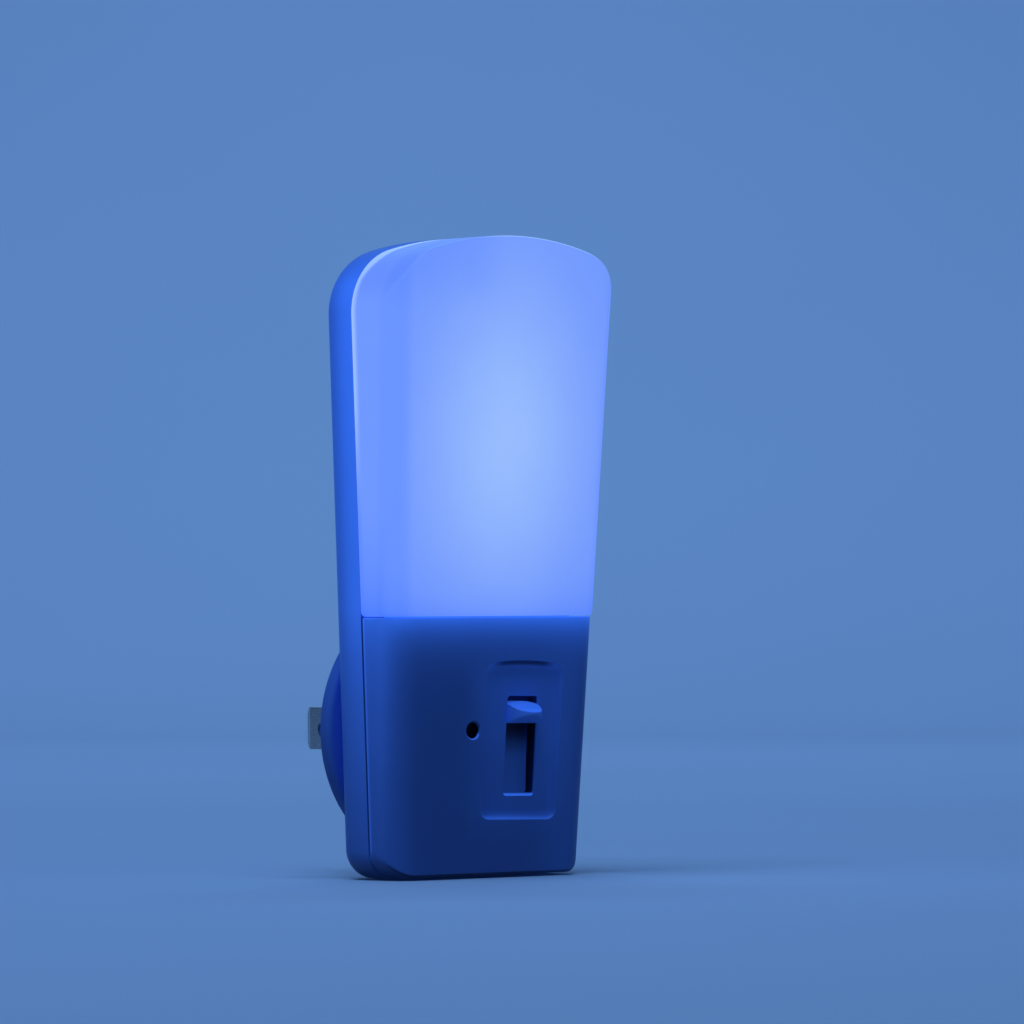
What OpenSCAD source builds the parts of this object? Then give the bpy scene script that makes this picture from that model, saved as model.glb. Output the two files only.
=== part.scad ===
// Plug-in LED night light: milky diffuser above a lower cover with a light
// sensor and a slide brightness control, on a rear shell that swivels on a
// round plug base with two flat blades.
// Millimetres. Origin midway between the blades on the plug base's rear face,
// front towards -Y, wall towards +Y, up +Z.

/* [Housing outline] */
// Half width of the housing level with the plug
half_w = 19.75; // [19.25:0.05:21]
// Growth of the half width for each millimetre of height
side_slope = 0.0345; // [0.02:0.0002:0.05]
// Highest point of the crown
top_z = 73.2; // [70:0.1:78]
// Radius of the crown
crown_r = 54; // [40:1:80]
// Radius of the two top corners
corner_r = 9.9; // [8:0.1:13]
// Lowest edge of the rear shell
rear_bottom_z = -21.9; // [-22.6:0.1:-21.9]
// Radius of the two bottom corners
bottom_corner_r = 4.4; // [3.5:0.1:6]
// Lowest edge of the front cover
cover_bottom_z = -21.6; // [-21.8:0.05:-21.4]
// Height of the seam between the front cover and the diffuser
seam_z = 16.85; // [16:0.05:18]

/* [Housing depth] */
// Distance of the housing's back from the outlet's face
back_f = 4.8; // [4.7:0.05:5.2]
// Distance of the parting plane from the outlet's face
part_f = 12.6; // [12.4:0.1:12.9]
// Distance of the front face from the outlet's face, level with the plug
face_f = 19.7; // [19.4:0.1:20.5]
// Forward lean of the front face for each millimetre of height
face_slope = 0.06; // [0.04:0.002:0.07]
// Crown of the front face across its width
bulge = 0.35; // [0.1:0.05:0.6]
// Amount the diffuser stands proud of the front cover
proud = 0.4; // [0.1:0.05:0.6]
// Wall thickness of the three shells
wall = 1.6; // [1.4:0.1:1.8]
// Rounding of the long front edges
edge_r = 4.8; // [3.5:0.1:5]
// Rounding of the rear edge
rear_edge_r = 4; // [3:0.1:4.4]
// Depth and height of the shadow groove along the cover's parting line
groove = 0.3; // [0.1:0.05:0.4]

/* [Plug] */
// Diameter of the round plug base
base_d = 40; // [36:0.5:41]
// Thickness of the round plug base
base_t = 4.5; // [4:0.05:4.5]
// Distance of the disc's rim from the outlet's face
rim_f = 2.2; // [1.6:0.1:2.6]
// Diameter of the boss that rests on the outlet
boss_d = 30; // [29:0.5:31]
// Diameter of the hub that turns in the rear shell
hub_d = 24; // [22:0.5:25]
// Radial running clearance of the hub
hub_gap = 0.06; // [0.03:0.01:0.1]
// Distance between the blades' centres
blade_pitch = 12.7; // [12.7:0.1:12.7]
// Width of a blade
blade_w = 6.35; // [6.2:0.05:6.5]
// Thickness of a blade
blade_t = 1.5; // [1.4:0.05:1.6]
// Length of a blade beyond the plug base
blade_len = 17.2; // [15.9:0.1:18.2]

/* [Slide control] */
// Sideways position of the slot's centre
slot_x = 5.36; // [5.1:0.02:5.6]
// Height of the slot's centre
slot_z = -2.25; // [-3:0.05:-1.5]
// Width of the slot
slot_w = 5.9; // [5.8:0.05:6.3]
// Length of the slot
slot_len = 14.4; // [13.5:0.1:15]
// Lean of the slot towards the housing's narrower end
slot_tilt = 1.2; // [0:0.1:2]
// Travel of the slide knob
knob_travel = 10; // [8:0.1:10]
// Width of the recessed panel
panel_w = 15; // [14:0.1:15.2]
// Length of the recessed panel
panel_len = 23.2; // [21:0.1:23.5]
// Height of the recessed panel's centre
panel_z = -1.8; // [-2.2:0.1:-1.5]
// Depth of the recessed panel
panel_depth = 0.9; // [0.6:0.05:1]
// Reach of the finger fin beyond the recessed panel
fin_reach = 3.05; // [2.6:0.05:4]

/* [Light sensor] */
// Sideways position of the sensor hole
sensor_x = -4.68; // [-6:0.05:-4.5]
// Diameter of the sensor hole
sensor_d = 2.4; // [2:0.1:3]

/* [Lamp board] */
// Columns of light chips
led_cols = 2; // [1:1:2]
// Rows of light chips
led_rows = 4; // [2:1:4]
// Width of the lamp board
led_board_w = 24; // [20:0.5:26]
// Lowest edge of the lamp board
led_board_z = 24; // [23:0.5:26]
// Length of the lamp board
led_board_len = 40; // [36:0.5:41]

/* [Hidden] */
$fn = 48;

q = sqrt(1 + side_slope * side_slope);
side_a = -atan(side_slope);
lean = atan(face_slope);
board_f = 9.9;
board_t = 1.2;
board_front = board_f + board_t;
ring_t = 0.2;
inner_ring_r = 6.9;
outer_ring_r = 11;
screw_x = 13.5;
screw_z = -16.9;
top_screw_x = 13.2;
top_screw_z = 14.4;
cell_z = 0;
tray_f = 12.1;
lamp_f = 13.15;
lamp_t = 1;
dimmer_front = 15.3;
plate_f = 16.1;
knob_top = 1.62;
hook_z = [30, 52];

// ---------------------------------------------------------------- outlines

// half width of the housing at height z
function hw(z) = half_w + side_slope * z;
// distance of the front face at a point
function face(x, z, up) = face_f + up + face_slope * z - bulge * pow(x / hw(z), 2);
// distance of the front surface with its rounded long edges, t inside it
function front(x, z, up, t) = face(x, z, up) - t
    - fall(max(0, hw(z) - t - abs(x)), max(edge_r - t, 0.3));
// fall of a rounded edge of radius r at distance e inside the outline
function fall(e, r) = e >= r ? 0 : r - sqrt(max(0, r * r - (r - e) * (r - e)));

function arc(cx, cz, r, a0, a1, n) =
    [for (i = [0 : n]) let (a = a0 + (a1 - a0) * i / n)
        [cx + r * cos(a), cz + r * sin(a), a, 0]];

// height of a corner of radius r, tangent to the side line moved in by d and
// to the inside of a circle of radius br about (cx, cz); s picks top or bottom
function corner_z(cx, cz, br, r, d, s) =
    let (m = side_slope, a = half_w - (d + r) * q - cx, k = 1 + m * m,
         b = 2 * a * m - 2 * cz,
         c = a * a + cz * cz - (br - r) * (br - r))
    (-b + s * sqrt(b * b - 4 * k * c)) / (2 * k);
function corner_x(z, r, d) = half_w + side_slope * z - (d + r) * q;

// the right half of the top, from the side line up to the crown
function top_half(d, n, nc) =
    let (cz = top_z - crown_r, r = corner_r - d, br = crown_r - d,
         z = corner_z(0, cz, br, r, d, 1), x = corner_x(z, r, d),
         a = atan2(z - cz, x))
    concat(arc(x, z, r, side_a, a, n),
           [for (i = [1 : nc]) let (t = a + (90 - a) * i / nc)
               [br * cos(t), cz + br * sin(t), t, 0]]);

function side_run(z0, z1, d, n) =
    [for (i = [1 : n]) let (z = z0 + (z1 - z0) * i / (n + 1))
        [hw(z) - d * q, z, side_a, 0]];

function first(v) = v[0];
function last(v) = v[len(v) - 1];

// right halves, from the lowest point to the highest; the fourth value marks
// the points that lie on the seam, where the edge is square
function rear_half(d, db) =
    let (r = max(bottom_corner_r - d, 0.3), z = rear_bottom_z + db + r,
         x = corner_x(z, r, d),
         low = arc(x, z, r, -90, side_a, 8), up = top_half(d, 12, 5))
    concat([[0, rear_bottom_z + db, -90, 0]], low,
           side_run(last(low)[1], first(up)[1], d, 3), up);

function diffuser_half(d, db) =
    let (r = 0.5, z = seam_z + 0.05 + db + r, x = corner_x(z, r, d),
         low = arc(x, z, r, -90, side_a, 3), up = top_half(d, 14, 6))
    concat([for (i = [0 : 3]) [x * i / 4, seam_z + 0.05 + db, 0, 1]],
           [for (p = low) [p[0], p[1], 0, 0]],
           side_run(last(low)[1], first(up)[1], d, 4), up);

function cover_half(d, db) =
    let (r = max(bottom_corner_r - d, 0.3), z = cover_bottom_z + d + r,
         x = corner_x(z, r, d), low = arc(x, z, r, -90, side_a, 8),
         zt = seam_z - 0.05 - db, xt = hw(zt) - d * q)
    concat([[0, cover_bottom_z + d, -90, 0]], low,
           side_run(last(low)[1], zt, d, 3),
           [for (i = [0 : 4]) [xt * (1 - i / 4), zt, side_a, 1]]);

// closes a right half to a whole ring
function whole(h) = concat(h,
    [for (i = [len(h) - 2 : -1 : 1]) [-h[i][0], h[i][1], h[i][2], h[i][3]]]);
function flat2(h) = [for (p = whole(h)) [p[0], p[1]]];

function half(kind, d, db) = kind == "rear" ? rear_half(d, db)
    : kind == "cover" ? cover_half(d, db) : diffuser_half(d, db);

// ---------------------------------------------------------------- skins

// a ring of points at distance f
function level(kind, d, db, f) = [for (p = whole(half(kind, d, db))) [p[0], -f, p[1]]];

// a ring on the front: e inside the skin's outline, t below the front; crisp
// is the small rounding of the outline's own edge
function dome(kind, e, t, up, crisp) =
    [for (p = whole(half(kind, e + t, t)))
        let (x = p[3] == 1 ? (hw(p[1]) - e - t) * sign(p[0]) : p[0],
             f = front(x, p[1], up, t) - fall(e, crisp))
        [p[0], -(p[3] == 1 ? min(f, front(p[0], p[1], up, t)) : f), p[1]]];

// the middle of the front, drawn in towards its centre
function middle(kind, e, t, up, s, zc) =
    [for (p = whole(half(kind, e + t, t)))
        let (x = p[0] * s, z = zc + (p[1] - zc) * s) [x, -front(x, z, up, t), z]];

module skin(rings, c0, c1) {
    n = len(rings[0]);
    m = len(rings);
    pts = concat([c0], [for (r = rings) each r], [c1]);
    faces = concat(
        [for (i = [0 : n - 1]) [0, 1 + (i + 1) % n, 1 + i]],
        [for (j = [0 : m - 2]) for (i = [0 : n - 1])
            let (a = 1 + j * n + i, b = 1 + j * n + (i + 1) % n) each
            [[a, b, b + n], [a, b + n, a + n]]],
        [for (i = [0 : n - 1]) [m * n + 1, 1 + (m - 1) * n + i, 1 + (m - 1) * n + (i + 1) % n]]);
    polyhedron(points = pts, faces = faces, convexity = 8);
}

// distances inside the outline at which the rounded front is sampled
outer_steps = [0, 0.08, 0.25, 0.5, 1, 1.8, 2.8, 3.8, edge_r];
inner_steps = [0, 0.3, 1, 2, edge_r - wall];
edge_crisp = 0.5;

module front_skin(kind, up, g, zc) {
    outer = concat(
        [for (s = [0.25, 0.6]) middle(kind, edge_r, 0, up, s, zc)],
        [for (i = [len(outer_steps) - 1 : -1 : 0]) dome(kind, outer_steps[i], 0, up, edge_crisp)],
        g > 0 ? [level(kind, 0, 0, part_f + g + 0.05), level(kind, g, 0, part_f + g),
                 level(kind, g, 0, part_f)]
              : [level(kind, 0, 0, part_f + 0.03)]);
    inner = concat([level(kind, wall, wall, part_f + (g > 0 ? 0 : 0.03))],
        [for (e = inner_steps) dome(kind, e, wall, up, 0.01)],
        [middle(kind, edge_r - wall, wall, up, 0.5, zc)]);
    skin(concat(outer, inner), [0, -face(0, zc, up), zc], [0, -(face(0, zc, up) - wall), zc]);
}

module rear_skin() {
    steps = [90, 72, 54, 36, 18, 0];
    ri = rear_edge_r - wall;
    rim = wall + 0.8;
    outer = concat(
        [for (a = steps) level("rear", rear_edge_r * (1 - cos(a)), rear_edge_r * (1 - cos(a)),
            back_f + rear_edge_r * (1 - sin(a)))],
        [level("rear", 0, 0, part_f)]);
    inner = concat(
        [level("rear", wall, rim, part_f)],
        [for (a = [0, 30, 60, 90]) level("rear", wall + ri * (1 - cos(a)), rim + ri * (1 - cos(a)),
            back_f + wall + ri * (1 - sin(a)))]);
    rings = concat(outer, inner);
    skin([for (i = [len(rings) - 1 : -1 : 0]) rings[i]],
        [0, -(back_f + wall), 20], [0, -back_f, 20]);
}

// an extrusion along the depth, from distance f0 to f1, of a shape drawn in
// the X-Z plane
module depth(f0, f1) {
    translate([0, -f0, 0]) rotate([90, 0, 0]) linear_extrude(f1 - f0) children();
}
// a cylinder along the depth
module post(x, z, d, f0, f1) {
    translate([x, -f0, z]) rotate([90, 0, 0]) cylinder(d = d, h = f1 - f0);
}
module cone(x, z, d0, d1, f0, f1) {
    translate([x, -f0, z]) rotate([90, 0, 0]) cylinder(d1 = d0, d2 = d1, h = f1 - f0);
}
module box(x0, x1, f0, f1, z0, z1) {
    translate([x0, -f1, z0]) cube([x1 - x0, f1 - f0, z1 - z0]);
}
module round_rect(w, h, r) {
    union() {
        square([w - 2 * r, h], center = true);
        square([w, h - 2 * r], center = true);
        for (i = [-1, 1], j = [-1, 1]) translate([i * (w / 2 - r), j * (h / 2 - r)]) circle(r = r);
    }
}
// the frame of the slide control: its own Z runs along the slot, and its
// origin is at the slot's centre on the outlet's face
module at_slot() {
    translate([slot_x, 0, slot_z]) rotate([0, slot_tilt, 0]) children();
}
// the frame of the recessed panel: its own -Y is the panel's outward normal,
// and its origin is on the panel's floor
module at_panel() {
    translate([slot_x - 0.6, -(face(slot_x, panel_z, 0) - panel_depth), panel_z])
        rotate([lean, 0, 0]) rotate([0, slot_tilt, 0]) children();
}

// ---------------------------------------------------------------- housing

module rear_shell() color([0.90, 0.92, 0.95]) {
    difference() {
        union() {
            rear_skin();
            // tongue that locates the front parts
            intersection() {
                union() {
                    depth(part_f - 1.6, part_f) difference() {
                        polygon(flat2(rear_half(wall - 0.3, wall - 0.3)));
                        polygon(flat2(rear_half(wall + 0.8, wall + 0.8)));
                    }
                    depth(part_f - 0.2, part_f + 1.1) difference() {
                        polygon(flat2(rear_half(wall + 0.12, wall + 0.12)));
                        polygon(flat2(rear_half(wall + 0.8, wall + 0.8)));
                    }
                }
                union() {
                    box(-40, 40, 5, 30, -11, seam_z - wall - 0.5);
                    box(-40, 40, 5, 30, seam_z + wall + 0.5, 100);
                }
            }
            // bearing collar round the hub's bore
            post(0, 0, hub_d + 4.6, back_f + wall - 0.2, back_f + wall + 0.2);
            // tubes for the housing screws and posts for the boards
            for (s = [-1, 1]) {
                post(s * screw_x, screw_z, 5.4, back_f + 1, board_f);
                post(s * top_screw_x, top_screw_z, 4.4, back_f + 1, board_f);
            }
            for (z = [led_board_z + 15, led_board_z + led_board_len - 5])
                post(0, z, 4.6, back_f + 1, tray_f);
            // stops that end the swivel
            for (s = [-1, 1]) rotate([0, s * 103, 0])
                box(-1.5, 1.5, back_f + 1, back_f + wall + 2, 15.5, 17.2);
            // strengthening ribs
            for (x = [-8, 8]) box(x - 0.5, x + 0.5, back_f + 1, back_f + wall + 1, 37, 66);
        }
        // pockets for the diffuser's hooks
        for (s = [-1, 1], z = hook_z) mirror([s < 0 ? 1 : 0, 0, 0])
            box(hw(z) - wall - 1.0, hw(z) - wall - 0.3, part_f - 2.1, part_f - 0.95, z - 2.3, z + 2.3);
        post(0, 0, hub_d + 2 * hub_gap, back_f - 1, back_f + wall + 1);
        for (s = [-1, 1]) {
            post(s * screw_x, screw_z, 2.4, back_f - 1, board_f + 1);
            post(s * screw_x, screw_z, 4.2, back_f - 1, back_f + 1.9);
            post(s * top_screw_x, top_screw_z, 1.6, back_f + 1.8, board_f + 1);
        }
        for (z = [led_board_z + 15, led_board_z + led_board_len - 5])
            post(0, z, 1.6, back_f + 2.2, tray_f + 1);
    }
}

module panel_cut() {
    // the recessed panel with sloping walls and a bowed top edge
    at_panel() {
        hull() {
            translate([0, 0, 0]) rotate([90, 0, 0]) linear_extrude(0.02)
                panel_shape(panel_w - 1.5, panel_len - 1.5, 1.5, $fn = 24);
            translate([0, -panel_depth - 0.6, 0]) rotate([90, 0, 0]) linear_extrude(0.02)
                panel_shape(panel_w + 1, panel_len + 1, 2.6, $fn = 24);
        }
    }
}
module panel_shape(w, h, r) {
    union() {
        round_rect(w, h, r);
        intersection() {
            translate([0, h / 2 - 40 + 0.35]) circle(r = 40, $fn = 180);
            translate([-(w / 2 - r), 0]) square([w - 2 * r, h]);
        }
    }
}

module front_cover() color([0.90, 0.92, 0.95]) {
    difference() {
        union() {
            front_skin("cover", 0, groove, -2);
            // pad that thickens the wall behind the panel
            intersection() {
                at_panel() box(-panel_w / 2 - 1, panel_w / 2 + 1, -1.25, -0.2, -panel_len / 2 - 0.2, panel_len / 2);
                box(-40, 16.2, 5, 30, cover_bottom_z + 0.6, seam_z - 0.6);
            }
            // socket for the sensor sleeve
            post(sensor_x, cell_z, 7.6, 15.6, 18.6);
            // bosses for the housing screws
            for (s = [-1, 1]) post(s * screw_x, screw_z, 4.4, board_front, 17.4);
            // tongue that enters the diffuser's lower edge and closes the seam to light
            box(-16.5, 16.5, 14.5, 16, seam_z - 0.6, seam_z + 0.4);
        }
        panel_cut();
        at_slot() depth(10, 25) round_rect(slot_w, slot_len, 0.5);
        // sloping lip at the slot's lower end
        at_panel() translate([0, 0, -slot_len / 2 - (panel_z - slot_z)])
            rotate([90, 0, 90]) linear_extrude(slot_w - 0.6, center = true)
                polygon([[0.9, 0.3], [-1, 0.3], [-1, -1.1], [-0.1, -0.5]]);
        // sensor hole with its bevel, wider behind its lip
        post(sensor_x, cell_z, sensor_d, 10, 25);
        cone(sensor_x, cell_z, sensor_d, sensor_d + 2,
            face(sensor_x, 0, 0) - 0.2, face(sensor_x, 0, 0) + 0.8);
        cone(sensor_x, cell_z, 5, sensor_d, 17.1, face(sensor_x, 0, 0) - 0.45);
        post(sensor_x, cell_z, 6.1, 10, 17.2);
        for (s = [-1, 1]) post(s * screw_x, screw_z, 1.7, board_front - 1, 16);
    }
}

module diffuser() color([0.62, 0.76, 1.0]) {
    union() {
        difference() {
            front_skin("diffuser", proud, 0, 42);
            // groove for the front cover's tongue
            box(-16.7, 16.7, 14.35, 16.15, seam_z - 1, seam_z + 0.55);
        }
        // hooks that snap into the rear shell's pockets
        for (s = [-1, 1], z = hook_z) {
            a = hw(z) - wall;
            mirror([s < 0 ? 1 : 0, 0, 0]) {
                box(a - 1.6, a - 1.0, part_f - 2, part_f + 3, z - 2.5, z + 2.5);
                box(a - 1.6, a + 0.4, part_f + 1.6, part_f + 3, z - 2.5, z + 2.5);
                box(a - 1.2, a - 0.45, part_f - 1.9, part_f - 1.1, z - 2, z + 2);
            }
        }
    }
}

module tapping_screw(x, z, head_d, head_t, shank_d, f0, f1) {
    // the head starts at f0 and the shank ends at f1
    dir = f1 > f0 ? 1 : -1;
    difference() {
        union() {
            translate([x, -f0, z]) rotate([dir * 90, 0, 0]) {
                cylinder(d = head_d, h = head_t);
                cylinder(d = shank_d, h = abs(f1 - f0) - 0.8);
                translate([0, 0, abs(f1 - f0) - 0.8]) cylinder(d1 = shank_d, d2 = 0.5, h = 0.8);
            }
        }
        // cross recess
        translate([x, -f0, z]) rotate([dir * 90, 0, 0]) for (a = [0, 90]) rotate([0, 0, a])
            translate([-head_d * 0.32, -0.22, -0.1]) cube([head_d * 0.64, 0.44, head_t * 0.55 + 0.1]);
    }
}

module housing_screws() color([0.72, 0.73, 0.75])
    for (s = [-1, 1])
        tapping_screw(s * screw_x, screw_z, 3.8, 1.3, 1.66, back_f + 0.55, 15.4);

// ---------------------------------------------------------------- plug

module plug_base() color([0.88, 0.90, 0.94]) {
    difference() {
        union() {
            // disc with rounded rims on a lower boss, and the hub
            rotate([90, 0, 0]) rotate_extrude($fn = 96) union() {
                polygon([[0, 0], [boss_d / 2 - 0.4, 0], [boss_d / 2, 0.4], [boss_d / 2, rim_f],
                    [base_d / 2 - 0.5, rim_f], [base_d / 2, rim_f + 0.5],
                    [base_d / 2, base_t - 0.8], [base_d / 2 - 0.8, base_t], [0, base_t]]);
                translate([base_d / 2 - 0.8, base_t - 0.8]) circle(r = 0.8, $fn = 32);
            }
            post(0, 0, hub_d, base_t - 0.2, 6.98);
        }
        for (s = [-1, 1]) {
            box(s * blade_pitch / 2 - blade_t / 2, s * blade_pitch / 2 + blade_t / 2,
                -1, 12, -blade_w / 2, blade_w / 2);
            box(s * blade_pitch / 2 - 1.35, s * blade_pitch / 2 + 1.35,
                5.2, 12, -blade_w / 2 - 0.4, blade_w / 2 + 0.4);
        }
        for (a = [0, 120, 240]) rotate([0, a, 0]) post(0, 9.6, 1.3, 3.4, 12);
        // shallow well in the boss's face
        depth(-1, 0.35) difference() {
            circle(r = 12.4);
            circle(r = 9.8);
        }
    }
}

module plug_blades() color([0.80, 0.78, 0.70])
    for (s = [-1, 1]) translate([s * blade_pitch / 2, 0, 0]) {
        difference() {
            union() {
                // blade with a bevelled tip
                rotate([0, 0, 0]) translate([0, 0, -blade_w / 2]) linear_extrude(blade_w) polygon([
                    [-blade_t / 2, -5.2], [blade_t / 2, -5.2],
                    [blade_t / 2, blade_len - 1.2], [blade_t / 2 - 0.45, blade_len],
                    [-blade_t / 2 + 0.45, blade_len], [-blade_t / 2, blade_len - 1.2]]);
                // upset tail that locks it in the base
                box(-1.2, 1.2, 5.2, 8.3, -blade_w / 2, blade_w / 2);
            }
            // hole near the tip
            translate([0, blade_len - 4.6, 0]) rotate([0, 90, 0]) cylinder(d = 3.2, h = 6, center = true);
            // bevelled corners of the tip
            for (k = [-1, 1]) translate([0, blade_len, k * blade_w / 2]) rotate([45, 0, 0])
                cube([6, 1.2, 1.2], center = true);
            // rivet hole in the tail
            post(0, s * 1.9, 1.0, 6.6, 10);
        }
    }

module swivel_retainer() color([0.30, 0.31, 0.33]) {
    difference() {
        union() {
            post(0, 0, 30, 6.98, 8.18);
            // lug that meets the stops
            rotate([0, 0, 0]) box(-1.4, 1.4, 6.98, 8.18, 13, 16.6);
        }
        for (s = [-1, 1]) box(s * blade_pitch / 2 - 1.6, s * blade_pitch / 2 + 1.6,
            5, 12, -blade_w / 2 - 0.4, blade_w / 2 + 0.4);
        for (a = [0, 120, 240]) rotate([0, a, 0]) {
            post(0, 9.6, 1.9, 5, 12);
            post(0, 9.6, 3.4, 7.7, 12);
        }
    }
}

module retainer_screws() color([0.72, 0.73, 0.75])
    for (a = [0, 120, 240]) rotate([0, a, 0])
        tapping_screw(0, 9.6, 3.2, 0.6, 1.28, 8.35, 4.0);

module friction_washer() color([0.66, 0.67, 0.70]) {
    difference() {
        post(0, 0, 28.6, 6.66, 6.94);
        post(0, 0, hub_d + 0.5, 6, 8);
        // gap of the split ring
        box(-0.6, 0.6, 6, 8, -16, -10);
    }
}

module blade_rivets() color([0.76, 0.62, 0.35])
    for (s = [-1, 1]) {
        post(s * blade_pitch / 2, s * 1.9, 0.96, 6.8, 8.7);
        cone(s * blade_pitch / 2, s * 1.9, 2.0, 1.3, 8.62, 8.95);
    }

// a leaf from the blade's tail to a slip ring; z0 is the rivet, z1 the contact
module leaf(x, z0, z1) {
    d = z1 > z0 ? 1 : -1;
    difference() {
        translate([x - 1.1, 0, 0]) rotate([90, 0, 90]) linear_extrude(2.2) polygon([
            [-8.32, z0 - d * 1.2], [-8.60, z0 - d * 1.2], [-8.60, z0 + d * 1.2],
            [-9.66, z1 - d * 0.7], [-9.67, z1 + d * 0.4], [-9.2, z1 + d * 1.1],
            [-8.95, z1 + d * 0.95], [-9.38, z1 + d * 0.25], [-9.36, z1 - d * 0.6],
            [-8.32, z0 + d * 1.35]]);
        post(x, z0, 1.0, 8, 9);
    }
}
module contact_springs() color([0.80, 0.60, 0.32]) {
    leaf(-blade_pitch / 2, -1.9, sqrt(outer_ring_r * outer_ring_r - pow(blade_pitch / 2, 2)));
    leaf(blade_pitch / 2, 1.9, -sqrt(inner_ring_r * inner_ring_r - pow(blade_pitch / 2, 2)));
}

// ---------------------------------------------------------------- electronics

module slip_ring(r, w) {
    depth(board_f - ring_t, board_f) difference() {
        circle(r = r + w / 2, $fn = 72);
        circle(r = r - w / 2, $fn = 72);
    }
}
module inner_slip_ring() color([0.85, 0.55, 0.30]) slip_ring(inner_ring_r, 1.8);
module outer_slip_ring() color([0.85, 0.55, 0.30]) slip_ring(outer_ring_r, 1.8);

module main_board() color([0.10, 0.42, 0.22]) {
    difference() {
        depth(board_f, board_front) translate([0, -1.3]) round_rect(32, 35, 3);
        for (s = [-1, 1]) {
            post(s * screw_x, screw_z, 2.4, 5, 15);
            post(s * top_screw_x, top_screw_z, 2.2, 5, 15);
        }
        // lead holes for the parts that stand above the board
        for (x = [-9.8, -4.8, 3.5, 6]) post(x, 15, 1.0, 5, 15);
        for (x = [8.5, 11]) post(x, 11.5, 1.1, 5, 15);
        for (z = [cell_z - 1.27, cell_z + 1.27]) post(sensor_x, z, 0.8, 5, 15);
        for (x = [-14.2, -6]) post(x, 7.5, 0.8, 5, 15);
        at_slot() for (x = [-2, 2], z = [-11.6, 11.4]) post(x, z, 1.0, 5, 15);
    }
}

module board_screws() color([0.72, 0.73, 0.75])
    for (s = [-1, 1])
        tapping_screw(s * top_screw_x, top_screw_z, 3.6, 0.9, 1.58, board_front + 0.9, 7.2);

// a lead that runs down from a part above the board and turns into the board
module drop_lead(x, z0, z1, f0, f1) {
    translate([x, -f0, z1]) cylinder(d = 0.6, h = z0 - z1);
    translate([x, -f0, z1]) sphere(d = 0.6, $fn = 24);
    post(x, z1, 0.6, f0, f1);
    cone(x, z1, 1.5, 0.8, board_front, board_front + 0.5);
}

module film_capacitor() color([0.75, 0.55, 0.15]) {
    translate([-8.65, -9.3, 26]) rotate([90, 0, 0]) linear_extrude(5, center = true) round_rect(13, 10.4, 1);
    for (x = [-9.8, -4.8]) drop_lead(x, 21, 15, 9.0, board_front + 0.3);
}

module smoothing_capacitor() color([0.12, 0.16, 0.30]) {
    translate([4.75, -9.3, 20.6]) rotate_extrude() polygon([[0, 0], [2.2, 0], [2.5, 0.3],
        [2.5, 1.6], [2.3, 1.8], [2.3, 2.1], [2.5, 2.3], [2.5, 10.7], [2.2, 11], [0, 11]]);
    for (x = [3.5, 6]) drop_lead(x, 20.8, 15, 9.0, board_front + 0.3);
}

module axial(x0, x1, z, f, d, len) {
    // body between its two bent leads
    xm = (x0 + x1) / 2;
    translate([xm - len / 2, -f, z]) rotate([0, 90, 0]) rotate_extrude() polygon([[0, 0],
        [d / 2 - 0.2, 0], [d / 2, 0.3], [d / 2, 1.4], [d / 2 - 0.15, 1.7],
        [d / 2 - 0.15, len - 1.7], [d / 2, len - 1.4], [d / 2, len - 0.3], [d / 2 - 0.2, len], [0, len]]);
    for (x = [x0, x1]) {
        post(x, z, 0.55, board_f - 0.3 + (x == x0 ? 0 : 0), f);
        translate([x, -f, z]) sphere(d = 0.55, $fn = 24);
    }
    translate([x0, -f, z]) rotate([0, 90, 0]) cylinder(d = 0.55, h = x1 - x0);
}
module fuse_resistor() color([0.35, 0.55, 0.45]) {
    intersection() {
        axial(-14.2, -6, 7.5, 12.7, 2.4, 5.6);
        box(-20, 0, board_f, 20, 0, 20);
    }
}
module bleed_resistor() color([0.12, 0.12, 0.13]) {
    box(-13.2, -10.0, board_front, board_front + 0.6, -3, -1.4);
    box(-13.2, -10.0, board_front, board_front + 0.6, 1.4, 3);
}
module gull_legs(x0, x1, z, w, body_w) {
    // a row of legs on both sides of a chip
    for (x = [x0 : 1.27 : x1 + 0.01], s = [-1, 1])
        translate([x - w / 2, 0, z]) rotate([90, 0, 90]) linear_extrude(w) polygon([
            [-board_front, s * (body_w / 2 + 1.1)], [-board_front - 0.2, s * (body_w / 2 + 1.1)],
            [-board_front - 0.2, s * (body_w / 2 + 0.6)], [-board_front - 0.85, s * (body_w / 2 + 0.4)],
            [-board_front - 0.85, s * (body_w / 2 - 0.1)], [-board_front - 0.65, s * (body_w / 2 - 0.1)],
            [-board_front - 0.65, s * (body_w / 2 + 0.25)], [-board_front, s * (body_w / 2 + 0.45)]]);
}
module bridge_rectifier() color([0.10, 0.10, 0.11]) {
    box(-15, -10.4, board_front + 0.15, board_front + 2.4, -10.4, -6.4);
    for (x = [-14, -11.4], s = [-1, 1])
        box(x - 0.35, x + 0.35, board_front, board_front + 0.3, -8.4 + s * 2.5 - 0.7, -8.4 + s * 2.5 + 0.7);
}
module driver_chip() color([0.10, 0.10, 0.11]) {
    box(-7.6, -2.7, board_front + 0.15, board_front + 1.6, -12.3, -8.4);
    gull_legs(-7.05, -3.2, -10.35, 0.4, 3.9);
}

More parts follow.
